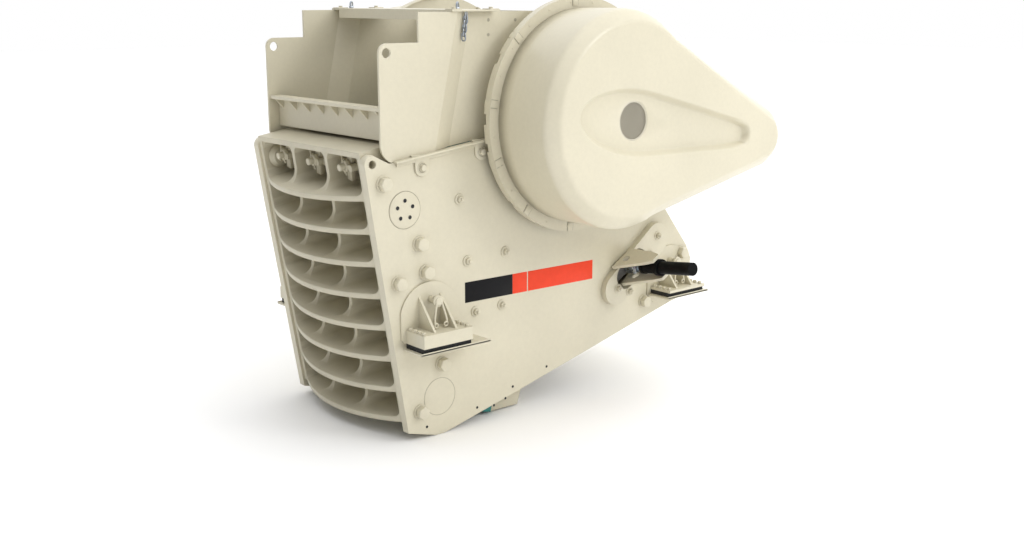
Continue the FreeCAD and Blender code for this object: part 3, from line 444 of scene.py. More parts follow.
FINISH = {  # every other node has the plain paint
    CASTING: "front_frame rear_frame pitman tie_bolts bearing_housing_left bearing_housing_right",
    MANGANESE: "fixed_jaw_die cheek_plates_left cheek_plates_right",
    TEAL: "moving_jaw_die",
    STEEL: "eccentric_shaft wedge_rod_left wedge_rod_right",
    IRON: "toggle_plate toggle_seat wedge_left wedge_right flywheel_left flywheel_right",
    RUBBER: "rubber_pads",
    BLACK: "motor adjusting_cylinder_left adjusting_cylinder_right",
    DARK_HOLE: "vent_grille_left vent_grille_right",
}
NODE_FINISH = {node: material for material, nodes in FINISH.items() for node in nodes.split()}
EDGE_WIDTHS = {
    "front_frame": 0.006, "rear_frame": 0.006, "side_plate_left": 0.002, "side_plate_right": 0.002,
    "hopper_lip": 0.002, "motor_mount": 0.002,
}


def soften(obj, width):
    """Rounds the hard edges of a sheet-metal or cast node without touching its own mesh."""
    weld = obj.modifiers.new("weld", "WELD")
    weld.merge_threshold = 0.00002
    planar = obj.modifiers.new("planar", "DECIMATE")
    planar.decimate_type = "DISSOLVE"
    planar.angle_limit = math.radians(0.5)
    bevel = obj.modifiers.new("bevel", "BEVEL")
    bevel.width = width
    bevel.segments = 2
    bevel.limit_method = "ANGLE"
    bevel.angle_limit = math.radians(35)
    bevel.harden_normals = True


for node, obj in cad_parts.items():
    obj.data.materials.clear()
    obj.data.materials.append(NODE_FINISH.get(node, PAINT))
    if node in EDGE_WIDTHS:
        soften(obj, EDGE_WIDTHS[node])


# ---- camera, light and floor

CAMERA_PLACE = (-5.763, -6.948, 2.263)
CAMERA_DOWN, CAMERA_TURN = 12.67, -40.42
CAMERA_LENS = 42.34
FLOOR_GAP = 0.002
FLOOR_HALF = 60

LIGHTS = (  # name, place, side of its square, power and colour
    ("key", (3.5, -9.0, 6.0), 3, 190, (1.0, 0.99, 0.97)),
    ("top", (-1.0, -2.0, 9.0), 6, 60, WHITE),
    ("rim", (7.5, 2.0, 5.0), 4, 120, WHITE),
)
FRONT_FALL = (-0.95, 0.10, 0.22, 1.0)  # the surround's direction along X, from and to, and its strength there
OVERHEAD_RISE = (0.25, 0.90, 1.0, 1.70)  # the same along Z


def make_camera():
    """Stands ahead of the drive side and looks a little down at the machine."""
    camera = bpy.data.objects.new("camera", bpy.data.cameras.new("camera"))
    bpy.context.scene.collection.objects.link(camera)
    camera.data.lens = CAMERA_LENS
    camera.location = CAMERA_PLACE
    camera.rotation_euler = (math.radians(90 - CAMERA_DOWN), 0, math.radians(CAMERA_TURN))
    camera.data.clip_end = 200
    bpy.context.scene.camera = camera


def make_light(name, place, size, power, colour):
    """A square soft light aimed at the machine's middle."""
    data = bpy.data.lights.new(name, "AREA")
    data.shape = "RECTANGLE"
    data.size = data.size_y = size
    data.energy = power
    data.color = colour
    light = bpy.data.objects.new(name, data)
    light.location = place
    target = (CAD_BOX[0] + CAD_BOX[1]) / 2
    light.rotation_euler = (target - Vector(place)).to_track_quat("-Z", "Y").to_euler()
    bpy.context.scene.collection.objects.link(light)


def make_surround():
    """A white surround, brighter overhead, that falls off towards the front casting."""
    world = bpy.data.worlds.new("studio")
    bpy.context.scene.world = world
    world.use_nodes = True
    tree = world.node_tree
    background = tree.nodes["Background"]
    background.inputs["Color"].default_value = (*WHITE, 1)
    direction = tree.nodes.new("ShaderNodeTexCoord")
    split = tree.nodes.new("ShaderNodeSeparateXYZ")
    total = tree.nodes.new("ShaderNodeMath")
    total.operation = "MULTIPLY"
    tree.links.new(direction.outputs["Generated"], split.inputs["Vector"])
    for place, (axis, bounds) in enumerate((("X", FRONT_FALL), ("Z", OVERHEAD_RISE))):
        node = tree.nodes.new("ShaderNodeMapRange")
        node.interpolation_type = "SMOOTHSTEP"
        for socket, value in zip(("From Min", "From Max", "To Min", "To Max"), bounds):
            node.inputs[socket].default_value = value
        tree.links.new(split.outputs[axis], node.inputs["Value"])
        tree.links.new(node.outputs["Result"], total.inputs[place])
    tree.links.new(total.outputs["Value"], background.inputs["Strength"])


def make_floor():
    """A plain pale floor just under the lowest edge of the frame."""
    mesh = bpy.data.meshes.new("floor")
    half = FLOOR_HALF
    corners = [(-half, -half), (half, -half), (half, half), (-half, half)]
    mesh.from_pydata([(x, y, FLOOR_Z - FLOOR_GAP) for x, y in corners], [], [(0, 1, 2, 3)])
    floor = bpy.data.objects.new("floor", mesh)
    bpy.context.scene.collection.objects.link(floor)
    material, _, shader = new_material("floor_sweep", grey(0.96), 0.85)
    shader.inputs["Specular IOR Level"].default_value = 0.15
    mesh.materials.append(material)


make_camera()
make_surround()
for light in LIGHTS:
    make_light(*light)
make_floor()
bpy.context.scene.view_settings.view_transform = "Standard"


# ---- drive guards

DRUM_RADIUS, FACE_RADIUS = 0.740, 0.653
CROWN = 0.074  # depth of the rounded edge between the face and the drum's wall
CROWN_CURVE = (  # share of the way from the face out to the wall, and share of the crown's depth
    (-0.25, 0.0), (-0.10, 0.012), (0.05, 0.06), (0.2, 0.17), (0.5, 0.46), (0.8, 0.76), (0.92, 0.93),
    (0.985, 1.10), (1.0, 1.28),
)
ARM_DEEP = 0.33
ON_SHAFT, ARM_END = Vector((0, 0)), Vector((1.425, -0.212))
ARM_RADIUS, ARM_FACE_RADIUS = 0.222, 0.142
ARM_INSET = 0.012  # how much less the arm's outline reaches than the drum, so that the drum keeps its own
SHEET = 0.006
PANEL_DEEP, PANEL_SLOPE = 0.055, 0.046
PANEL_OVAL, PANEL_OVAL_CENTRE, PANEL_LEAN = (0.550, 0.232), (0.050, -0.015), -8
PANEL_TIP_RADIUS, PANEL_TIP_CENTRE = 0.108, (1.130, -0.165)
DIMPLE_DEEP, DIMPLE_RADIUS, DIMPLE_FLOOR = 0.012, 0.30, 0.28
OUTLINE_STEP = 0.012
VENT_RADIUS, VENT_LIP = 0.133, 0.004
VENT_SHIFT = Vector((0.058, -0.005))
WIRE_PITCH, WIRE_RADIUS, WEAVE = 0.0065, 0.0013, 0.0022
BEZEL_RADIUS = 0.005
SHADE_DISC_THICK = 0.002

RIM_LOW, RIM_HIGH = DRUM_RADIUS + 0.066, DRUM_RADIUS + 0.0755
RIM_DEEP, BAND_WIDE = 0.060, 0.034
BAND_ARCS = ((-20, 24), (28, 60), (96, 134), (138, 147), (152, 176), (181, 190), (194, 222), (226, 262),
             (267, 300), (304, 336))
STRAPS = (24, 62, 94, 136, 171, 200, 232, 264, 302)
STRAP_HALF, STRAP_FOOT = 0.024, 0.752
RIM_SCREWS, SCREW_CIRCLE = 24, 0.782


def arm_outline(first, second):
    """A circle about the shaft line and one at the arm's end, joined by their outer tangents."""
    length, base = ARM_END.length, math.atan2(ARM_END.y, ARM_END.x)
    spread = math.acos((first - second) / length)
    points = [(first, base + spread + (2 * math.pi - 2 * spread) * k / 90, ON_SHAFT) for k in range(91)]
    points += [(second, base - spread + 2 * spread * k / 40, ARM_END) for k in range(41)]
    return [(centre[0] + r * math.cos(t), centre[1] + r * math.sin(t)) for r, t, centre in points]


def half_hull(ordered):
    """One side of a band stretched round points that are sorted along it."""
    kept = []
    for x, z in ordered:
        while len(kept) > 1:
            (x1, z1), (x2, z2) = kept[-2:]
            if (x2 - x1) * (z - z1) - (z2 - z1) * (x - x1) > 0:
                break
            kept.pop()
        kept.append((x, z))
    return kept[:-1]


def teardrop():
    """The sunk panel's outline about the shaft line: a leaning oval drawn out to a small round end."""
    lean = math.radians(PANEL_LEAN)
    oval_x, oval_z = PANEL_OVAL_CENTRE
    points = list(arc(PANEL_TIP_CENTRE, PANEL_TIP_RADIUS, 0, 355, 71))
    for t in turns(240):
        along, across = PANEL_OVAL[0] * math.cos(t), PANEL_OVAL[1] * math.sin(t)
        points.append((oval_x + along * math.cos(lean) - across * math.sin(lean),
                       oval_z + along * math.sin(lean) + across * math.cos(lean)))
    points.sort()
    return half_hull(points) + half_hull(points[::-1])


def resample(points):
    """The same closed outline with points at most a step apart."""
    dense = []
    for first, second in zip(points, points[1:] + points[:1]):
        first, second = Vector(first), Vector(second)
        count = max(1, math.ceil((second - first).length / OUTLINE_STEP))
        dense += [first.lerp(second, k / count) for k in range(count)]
    return dense


def inset(points, width):
    """A counter-clockwise outline moved inward by a width."""
    moved = []
    for k, point in enumerate(points):
        along = (points[(k + 1) % len(points)] - points[k - 1]).normalized()
        moved.append(point + Vector((-along.y, along.x)) * width)
    return moved


def by_angle(points, angles):
    """How far a star-shaped outline reaches from the shaft line at each angle."""
    polar = sorted((math.atan2(p[1], p[0]), math.hypot(p[0], p[1])) for p in points)
    polar = [(polar[-1][0] - 2 * math.pi, polar[-1][1])] + polar + [(polar[0][0] + 2 * math.pi, polar[0][1])]
    reach, place = [], 0
    for angle in angles:
        while polar[place + 1][0] < angle:
            place += 1
        (a0, r0), (a1, r1) = polar[place], polar[place + 1]
        reach.append(r0 + (r1 - r0) * (angle - a0) / max(a1 - a0, 1e-9))
    return reach


def between(inner, outer, share):
    """The ring that lies a share of the way from one ring to another."""
    return [r0 + (r1 - r0) * share for r0, r1 in zip(inner, outer)]


def ease(t):
    return t * t * (3 - 2 * t)


def round_outlines():
    """The angles of a plain drum guard, and the reach of its dimple, face and wall at each."""
    count = 200
    angles = [t - math.pi for t in turns(count)]
    return angles, *([radius] * count for radius in (DIMPLE_FLOOR, DIMPLE_RADIUS, FACE_RADIUS, DRUM_RADIUS))


def arm_outlines():
    """The angles of the guard with the belt arm, and the reach of its panel, face and wall at each."""
    wall = resample(arm_outline(DRUM_RADIUS - ARM_INSET, ARM_RADIUS))
    face = resample(arm_outline(FACE_RADIUS - ARM_INSET, ARM_FACE_RADIUS))
    panel = resample(teardrop())
    angles = sorted({round(math.atan2(p[1], p[0]), 3) for p in wall[::2] + panel[::3]})
    return (angles, by_angle(inset(panel, PANEL_SLOPE), angles), by_angle(panel, angles),
            [max(r, FACE_RADIUS) for r in by_angle(face, angles)],
            [max(r, DRUM_RADIUS) for r in by_angle(wall, angles)])


def guard_rings(outlines, panel, shift):
    """The rings of a guard's sheet from its vent to its rim: reach at each angle, depth and centre."""
    floor, edge, face, wall = outlines
    vent, drum = [VENT_RADIUS] * len(floor), [DRUM_RADIUS] * len(floor)
    front, back = GUARD_FRONT, GUARD_FRONT + CROWN + ARM_DEEP
    rings = [
        ([VENT_RADIUS - VENT_LIP] * len(floor), panel + 0.030, shift), (vent, panel + 0.026, shift),
        (vent, panel + 0.003, shift), ([VENT_RADIUS + VENT_LIP] * len(floor), panel, shift),
    ]
    rings += [(between(vent, floor, t), panel, shift * (1 - t)) for t in (0.35, 0.7, 0.97)]
    for t in (k / 8 for k in range(9)):
        rings.append((between(floor, edge, t), panel + (front - panel) * ease(t), ON_SHAFT))
    rings += [(between(edge, face, t), front, ON_SHAFT) for t in (0.05, 0.4, 0.75)]
    rings += [(between(face, wall, share), front + CROWN * deep, ON_SHAFT) for share, deep in CROWN_CURVE]
    rings += [
        (wall, back - 0.012, ON_SHAFT), ([max(DRUM_RADIUS, r - 0.012) for r in wall], back, ON_SHAFT),
        (drum, back + 0.001, ON_SHAFT), (drum, RIM_FRONT, ON_SHAFT),
    ]
    return rings


def guard_shell(name, node, side, outlines, panel, shift):
    """A pressed drum guard with a softly rounded face and a round vent opening."""
    angles, *outlines = outlines
    build = Build()
    rings = []
    for reach, y, moved in guard_rings(outlines, panel, shift):
        centre = Vector((SHAFT.x, SHAFT.z)) + moved
        rings.append([
            build.bm.verts.new((centre.x + r * math.cos(t), -side * y, centre.y + r * math.sin(t)))
            for r, t in zip(reach, angles)
        ])
    skin(build.bm, rings)
    bmesh.ops.recalc_face_normals(build.bm, faces=build.bm.faces)
    shell = build.done(name, [SHELL], smooth=50)
    wall = shell.modifiers.new("wall", "SOLIDIFY")
    wall.thickness = SHEET
    wall.offset = -1
    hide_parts(node)


def vent_mesh(name, node, side, panel, shift):
    """Woven wire over the vent, in a round bezel, with a dark disc behind it as painted shade of the guard's
    inside.
    """
    build = Build()
    centre = Vector((SHAFT.x + shift.x, 0, SHAFT.z + shift.y))
    reach = VENT_RADIUS - VENT_LIP
    count = int(reach / WIRE_PITCH)
    for k in range(-count, count + 1):
        half = math.sqrt(max(reach**2 - (k * WIRE_PITCH) ** 2, 0)) - 0.001
        if half < 0.01:
            continue
        for turned in (False, True):
            y = -side * (panel + 0.010 + (WEAVE if turned else 0))
            ends = [(k * WIRE_PITCH, -half), (k * WIRE_PITCH, half)]
            path = [centre + Vector((b, y, a) if turned else (a, y, b)) for a, b in ends]
            build.swept(path, WIRE_RADIUS, sides=4)
    bezel = circle(centre + Vector((0, -side * (panel + 0.008), 0)), reach, 96)
    build.swept(bezel, BEZEL_RADIUS, sides=8, closed=True)
    # painted shade: a dark disc behind the wire stands for the shaded inside of the guard
    shade_disc = facing(centre + Vector((0, -side * (panel + 0.024), 0)), outward(side))
    build.turned(disc_profile(reach, SHADE_DISC_THICK), shade_disc, sides=64, index=1)
    vent = build.done(name, [MESH_WIRE, VENT_SHADE])
    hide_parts(node)


def rim_clips(name, side):
    """The split outer band behind the flat ring, the straps that bridge it and the ring's screws."""
    build = Build()
    front = abs(RIM_FRONT)
    back = front - RIM_DEEP
    for start, end in BAND_ARCS:
        count = max(2, round((end - start) / 3))
        outer = list(arc((0, 0), RIM_HIGH, start, end, count))
        inner = list(arc((0, 0), RIM_LOW, end, start, count))
        build.slab(outer + inner, BAND_WIDE, on_side(side, SHAFT.x, back, SHAFT.z), 0.001)
    for degrees in STRAPS:
        place = on_drum(SHAFT, degrees, side)
        top = RIM_HIGH + 0.001
        build.block((-STRAP_HALF, back - 0.002, RIM_LOW), (STRAP_HALF, front + 0.003, top), place, 0.001)
        build.block((-STRAP_HALF, front - 0.001, STRAP_FOOT), (STRAP_HALF, front + 0.004, top), place, 0.001)
        # painted shade: thin dark blocks stand for the shaded gaps beside each strap
        for gap in (-STRAP_HALF - 0.003, STRAP_HALF + 0.003):
            low = (gap - 0.002, front - 0.001, STRAP_FOOT + 0.004)
            high = (gap + 0.002, front + 0.0008, RIM_HIGH - 0.004)
            build.block(low, high, place, 0.0, index=1)
    for k in range(RIM_SCREWS):
        place = on_drum(SHAFT, 360 / RIM_SCREWS * k + 7, side)
        head = facing(place @ Vector((0, front, SCREW_CIRCLE)), outward(side))
        build.turned(round_profile(0.007, 0.0025, 0.001), head, sides=12)
    build.done(name, [PAINT, SEAM_AND_SHADE])


PANELS = (GUARD_FRONT + PANEL_DEEP, GUARD_FRONT + DIMPLE_DEEP)
guard_shell("drive_guard", "guard_left", -1, arm_outlines(), PANELS[0], VENT_SHIFT)
guard_shell("far_guard", "guard_right", 1, round_outlines(), PANELS[1], ON_SHAFT)
for (side, tag), panel, shift in zip(SIDES, PANELS, (VENT_SHIFT, ON_SHAFT)):
    vent_mesh(f"vent_mesh_{tag}", f"vent_grille_{tag}", side, panel, shift)
for side, tag in SIDES:
    rim_clips(f"rim_clips_{tag}", side)


# ---- frame plate fittings

# Places on the plates are (x, z).
FRAME_BOLTS = ((-1.510, 1.112), (-1.236, 0.693), (-1.190, 0.496), (-1.411, 0.452), (-1.067, -0.156),
               (-1.252, -0.457), (0.896, -0.041), (1.309, 0.289))
FRAME_BOLT_SIZE, FRAME_BOLT_HIGH = 0.047, 0.046
STUDS = ((-0.903, 0.950), (-0.839, 0.522), (-0.505, 0.540), (-0.773, 0.158), (-0.537, 0.167))
CHEEK_STUD = ((0.038, 0.010, 0.003), (0.025, 0.020), (0.012, 0.046, 0.003))  # washer, nut and thread
DRILLED = ((-0.111, -0.370), (-0.435, -0.454), (-0.762, -0.538), (-1.198, -0.577), (-0.504, -0.527),
           (-0.610, -0.556))
DRILLED_RADIUS = 0.010
COVER, COVER_RADIUS, COVER_THICK, COVER_HOLE_CIRCLE = (-1.346, 0.927), 0.120, 0.0045, 0.062
COVER_SEAM_RADIUS, COVER_HOLE_RADIUS = 0.123, 0.0145
PLUG, PLUG_SEAM_RADIUS = (-1.086, -0.384), 0.130
SEAM_RADIUS = 0.0016
STRIP_FOOT = (Vector((-0.861, 0.2310)), Vector((0.341, 0.2200)))
STRIP_HIGH, STRIP_THICK, STRIP_SUNK = 0.143, 0.0016, 0.0004
STRIP_PANELS = ((0.0, 0.352, 0), (0.353, 0.464, 1), (0.472, 1.0, 1))  # shares of the strip, and the colour


def frame_bolts(name, side):
    """The large heads of the through bolts that hold the two castings between the plates."""
    build = Build()
    for n, (x, z) in enumerate(FRAME_BOLTS):
        place = (x, side * (PLATE_FACE - SEATED), z)
        hex_bolt(build, place, outward(side), FRAME_BOLT_SIZE, FRAME_BOLT_HIGH, turn=17.0 * n, washer=1.12)
    build.done(name, [PAINT])


def cheek_studs(name, side):
    """Small studs of the cheek plates: a wide washer, a nut and the thread's end."""
    build = Build()
    for n, (x, z) in enumerate(STUDS):
        place = Vector((x, side * (PLATE_FACE - SEATED), z))
        stud(build, place, outward(side), *CHEEK_STUD, turn=23.0 * n, sides=(32, 20))
    build.done(name, [PAINT])


def hole_mark(build, place, side, radius):
    """A hole drawn as a dark disc of painted shade in a thin raised ring."""
    thick = 0.0012
    build.turned([(radius, 0), (radius * 0.96, thick), (0, thick)], facing(place, outward(side)), 24, 1)
    build.swept(circle(place, radius, 24), radius * 0.12, sides=6, closed=True)


def plate_marks(name, side):
    """Drilled holes, the round five-hole cover and the ring of a welded plug low on the plate."""
    build = Build()
    for x, z in DRILLED:
        hole_mark(build, Vector((x, side * PLATE_FACE, z)), side, DRILLED_RADIUS)
    cover = Vector((COVER[0], side * PLATE_FACE, COVER[1]))
    radius, thick = COVER_RADIUS, COVER_THICK
    build.turned([(radius, 0.0), (radius, 0.003), (radius - 0.003, thick), (0, thick)],
                 facing(cover, outward(side)), 72)
    for x, z in arc(COVER, COVER_HOLE_CIRCLE, 90, 90 + 72 * 4, 4):
        hole_mark(build, Vector((x, side * (PLATE_FACE + 0.0042), z)), side, COVER_HOLE_RADIUS)
    for (x, z), radius in ((PLUG, PLUG_SEAM_RADIUS), (COVER, COVER_SEAM_RADIUS)):
        ring = circle(Vector((x, side * (PLATE_FACE + 0.0002), z)), radius, 96)
        build.swept(ring, SEAM_RADIUS, sides=6, closed=True, index=2)
    build.done(name, [PAINT, DARK_HOLE, SEAM_AND_SHADE])


def colour_strip(name):
    """Plain colour panels along the drive-side plate, with no lettering."""
    build = Build()
    start, end = STRIP_FOOT
    for first, last, index in STRIP_PANELS:
        low_front, low_rear = start.lerp(end, first), start.lerp(end, last)
        rise = Vector((0, STRIP_HIGH))
        corners = [low_front, low_rear, low_rear + rise, low_front + rise]
        build.slab(corners, STRIP_THICK, on_side(-1, 0, PLATE_FACE - STRIP_SUNK, 0), 0.0005, index)
    build.done(name, [STRIP_BLACK, STRIP_RED])


for side, tag in SIDES:
    frame_bolts(f"frame_bolts_{tag}", side)
    cheek_studs(f"cheek_studs_{tag}", side)
    plate_marks(f"plate_marks_{tag}", side)
colour_strip("colour_strip")


# ---- hopper fittings

RAIL_ENDS = (Vector((-1.430, 1.236)), Vector((-0.642, 1.330)))
RAIL_WIDE, RAIL_THICK = 0.048, 0.012
OFF_PLATE = 0.0005
EARS = ((-1.211, 1.189), (-0.719, 1.253))
EAR_HALF, EAR_FLARE, EAR_REACH, EAR_FLARE_HIGH, EAR_THICK = 0.055, 0.035, 0.085, 0.03, 0.014
STEP_HOLES = ((-0.597, 2.113), (-0.598, 2.017), (-0.362, 2.112))
CHAIN_TOP, CHAIN_FOOT = (-0.820, 2.160), (-0.846, 1.995)
CHAIN_OUT, CHAIN_LINKS, CHAIN_THICK, LINK_HALF = 0.688, 6, 0.0065, 0.013
DECK_TAB_HALF, DECK_TAB_IN = 0.04, 0.045
SHACKLE_HALF, SHACKLE_HIGH = 0.020, 0.024


def hopper_fittings(name, side):
    """The foot rail of the hopper side with its two bolted ears, and the holes of the step above it, drawn as
    dark discs of painted shade.
    """
    build = Build()
    first, last = RAIL_ENDS
    run = last - first
    slope = math.atan2(run.y, run.x)
    rail = Matrix.Translation((first.x, side * PLATE_FACE, first.y)) @ Matrix.Rotation(-slope, 4, "Y")
    low, high = sorted((side * OFF_PLATE, side * RAIL_WIDE))
    build.block((0, low, 0.0), (run.length, high, RAIL_THICK), rail)
    low, high = sorted((side * OFF_PLATE, side * RAIL_THICK))
    build.block((0.02, low, -0.028), (run.length, high, 0.004), rail)
    flare = [(EAR_HALF + EAR_FLARE, EAR_REACH), (EAR_HALF, EAR_REACH - EAR_FLARE_HIGH)]
    outline = [(-x, y) for x, y in flare] + list(arc((0, 0), EAR_HALF, 180, 360, 14)) + flare[::-1]
    for x, z in EARS:
        build.slab(outline, EAR_THICK, on_side(side, x, PLATE_FACE + OFF_PLATE, z))
        place = Vector((x, side * (PLATE_FACE + EAR_THICK), z))
        build.swept(circle(place, 0.034, 40), 0.0045, sides=8, closed=True)
        # painted shade: a dark disc round the ear bolt
        build.turned(disc_profile(0.033, 0.0008), facing(place, outward(side)), 32, 1)
        hex_bolt(build, place + outward(side) * 0.0006, outward(side), 0.023, 0.018, turn=12, washer=1.15)
    # painted shade: the step's holes are flat dark discs
    for x, z in STEP_HOLES:
        place = Vector((x, side * (PLATE_FACE - 0.060), z))
        build.turned(disc_profile(0.011, 0.001), facing(place, outward(side)), 20, 1)
    build.done(name, [PAINT, SEAM_AND_SHADE])


def safety_chain(name, side):
    """A short safety chain from the deck down the step of the hopper side."""
    build = Build()
    top = Vector((CHAIN_TOP[0], side * CHAIN_OUT, CHAIN_TOP[1]))
    foot = Vector((CHAIN_FOOT[0], side * CHAIN_OUT, CHAIN_FOOT[1]))
    link = [Vector((x, 0, z + LINK_HALF)) for x, z in arc((0, 0), LINK_HALF, 0, 180, 8)]
    link += [Vector((x, 0, z - LINK_HALF)) for x, z in arc((0, 0), LINK_HALF, 180, 360, 8)]
    for k in range(CHAIN_LINKS):
        centre = top.lerp(foot, (k + 0.5) / CHAIN_LINKS)
        place = Matrix.Translation(centre) @ Matrix.Rotation(math.radians(90 * (k % 2) + 25), 4, "Z")
        build.swept(link, CHAIN_THICK * 0.75, sides=8, closed=True, matrix=place)
    build.done(name, [STEEL])


def shackle(build, place):
    """A lashing shackle: its bow and its pin."""
    bow = [Vector((SHACKLE_HALF, 0, 0))]
    bow += [Vector((x, 0, z + SHACKLE_HIGH)) for x, z in arc((0, 0), SHACKLE_HALF, 0, 180, 10)]
    bow += [Vector((-SHACKLE_HALF, 0, 0))]
    build.swept(bow, 0.006, sides=8, matrix=place, index=1)
    pin = [Vector((-0.030, 0, 0.006)), Vector((0.030, 0, 0.006))]
    build.swept(pin, 0.007, sides=8, matrix=place, index=1)


def deck_fittings(name):
    """Corner tabs, hold-down nuts and lashing shackles on the deck plate."""
    build = Build()
    low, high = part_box("hopper_deck")
    top, half = high.z, DECK_TAB_HALF
    for x in (low.x + DECK_TAB_IN, high.x - DECK_TAB_IN):
        for y in (low.y + DECK_TAB_IN, high.y - DECK_TAB_IN):
            build.block((x - half, y - half, top - 0.0125), (x + half, y + half, top + 0.006), round_by=0.002)
            hex_bolt(build, (x, y, top + 0.005), UP, 0.014, 0.012, turn=20)
    for x, y in ((low.x + 0.09, high.y - 0.12), (low.x + 0.12, low.y + 0.10)):
        shackle(build, Matrix.Translation((x, y, top + 0.003)) @ Matrix.Rotation(math.radians(35), 4, "Z"))
    build.done(name, [PAINT, STEEL])


for side, tag in SIDES:
    hopper_fittings(f"hopper_fittings_{tag}", side)
safety_chain("safety_chain", -1)
deck_fittings("deck_fittings")


# ---- front casting fittings

# The casting's front leans back from the upright. Rows of pockets are counted down from its top edge.
LEAN = math.radians(9.2)
TOP_CORNER = Vector((-1.642, 0, 1.310))
FORWARD = Vector((-math.cos(LEAN), 0, -math.sin(LEAN)))
ALONG_FRONT = Vector((-math.sin(LEAN), 0, math.cos(LEAN)))
RIB, TOP_ROW, ROW = 0.036, 0.245, 0.2217
CLAMPS_Y, CLAMP_BACK, CLAMP_DOWN = (-0.343, 0.043, 0.437), 0.315, 0.130
CLAMP_BOSS = ((0.092, 0), (0.082, 0.03), (0.076, 0.150), (0.072, 0.158), (0.050, 0.162), (0, 0.162))
CLAMP_FACE = 0.160
HOOD_CIRCLE, HOOD_RADIUS = 0.056, 0.016
COTTER = ((0.056, -0.030, -0.052), (0.060, -0.006, 0.0), (0.056, 0.016, 0.045), (0.046, 0.036, 0.062))
TOP_WALL_BOSS = ((0.082, 0), (0.078, 0.022), (0.066, 0.034), (0.062, 0.046), (0.040, 0.050), (0.036, 0.060),
                 (0, 0.062))
WALL_RING = ((0.048, 0), (0.046, 0.010), (0.036, 0.012), (0.034, 0.006), (0, 0.006))
WALL_ROWS = ((1, "ring"), (2, "nut"), (4, "nut"), (5, "ring"), (6, "nut"))
POCKET_NUTS_Y = (-0.50, -0.44, -0.16, -0.10, -0.02, 0.23, 0.30, 0.36)


def on_casting(back, y, down):
    """A place measured back and down from the casting's top front edge."""
    return TOP_CORNER - FORWARD * back - ALONG_FRONT * down + Vector((0, y, 0))


def row_depth(row, more):
    """How far down the front a place in a row of pockets lies."""
    return 2 * RIB + TOP_ROW + ROW * row + more


def die_clamp(build, y):
    """One clamp of the fixed die: its boss, rounded hood, bolt, cross key, nut and cotter."""
    root = on_casting(CLAMP_BACK, y, CLAMP_DOWN)
    build.turned(CLAMP_BOSS, facing(root, FORWARD), 48)
    front = root + FORWARD * CLAMP_FACE
    middle = front + FORWARD * 0.008
    hood = [middle + Vector((0, y, 0)) + ALONG_FRONT * up for y, up in arc((0, 0), HOOD_CIRCLE, 0, 180, 16)]
    build.swept(hood, HOOD_RADIUS)
    build.turned(round_profile(0.050, 0.026, 0.006), facing(front, FORWARD))
    build.turned(round_profile(0.024, 0.140, 0.006), facing(front, FORWARD), 24)
    leaning = Matrix((
        (FORWARD.x, 0, ALONG_FRONT.x, 0), (0, 1, 0, 0), (FORWARD.z, 0, ALONG_FRONT.z, 0), (0, 0, 0, 1),
    ))
    tilted = Matrix.Rotation(math.radians(12), 4, "X")
    key = Matrix.Translation(front + FORWARD * 0.044) @ leaning @ tilted
    build.block((-0.016, -0.026, -0.108), (0.016, 0.026, 0.066), key, 0.005)
    build.block((-0.012, -0.076, -0.020), (0.012, 0.076, 0.020), key, 0.004)
    hex_bolt(build, front + FORWARD * 0.064, FORWARD, 0.044, 0.036, turn=10)
    build.swept([key @ Vector(point) for point in COTTER], 0.006, sides=8)


def wall_fittings(build, side):
    """The bosses and nuts on the inside of one side wall of the casting."""
    inward = -outward(side)
    build.turned(TOP_WALL_BOSS, facing(on_casting(0.115, side * 0.602, 0.165), inward), 40)
    for row, kind in WALL_ROWS:
        place = on_casting(0.085, side * 0.603, row_depth(row, 0.078))
        if kind == "ring":
            build.turned(WALL_RING, facing(place, inward))
        else:
            hex_bolt(build, place, inward, 0.040, 0.042, turn=20, washer=1.2)
            build.turned(round_profile(0.022, 0.066, 0.004), facing(place, inward), 24)


def casting_fittings(name):
    """The die clamps in the top pockets, the wall bosses and a row of small nuts deep in a pocket row."""
    build = Build()
    for y in CLAMPS_Y:
        die_clamp(build, y)
    for side, _ in SIDES:
        wall_fittings(build, side)
    for y in POCKET_NUTS_Y:
        place = on_casting(0.30, y, row_depth(3, 0.052))
        hex_bolt(build, place, FORWARD, 0.020, 0.022, turn=40 * y, washer=1.4)
        build.turned(round_profile(0.010, 0.050, 0.003), facing(place, FORWARD), 16)
    build.done(name, [CASTING])


casting_fittings("casting_fittings")


# ---- bracket feet

FOOT_TOPS = {"front": 0.132, "rear": 0.064}
FOOT_BOLT_ROWS = (-0.180, 0.172)
FOOT_BOLT_IN, FOOT_BOLT_PITCH = 0.042, 0.048
PIN_BACK, PIN_OUT, PIN_UP = 0.005, 0.089, 0.180
STRAP_PATH = ((0.004, 0.016, 0.020), (0.024, 0.020, -0.02), (0.045, 0.030, -0.105), (0.052, 0.036, -0.150))
STRAP_RADIUS, CURL_RADIUS, CURL_CIRCLE = 0.0075, 0.0065, 0.014
BASES = ((-1.165, 0.225, 0.350), (1.165, 0.225, 0.235))  # middle, reach to the front and reach to the rear
LIP_THICK, LIP_LOW, LIP_HIGH = 0.008, 0.002, 0.019


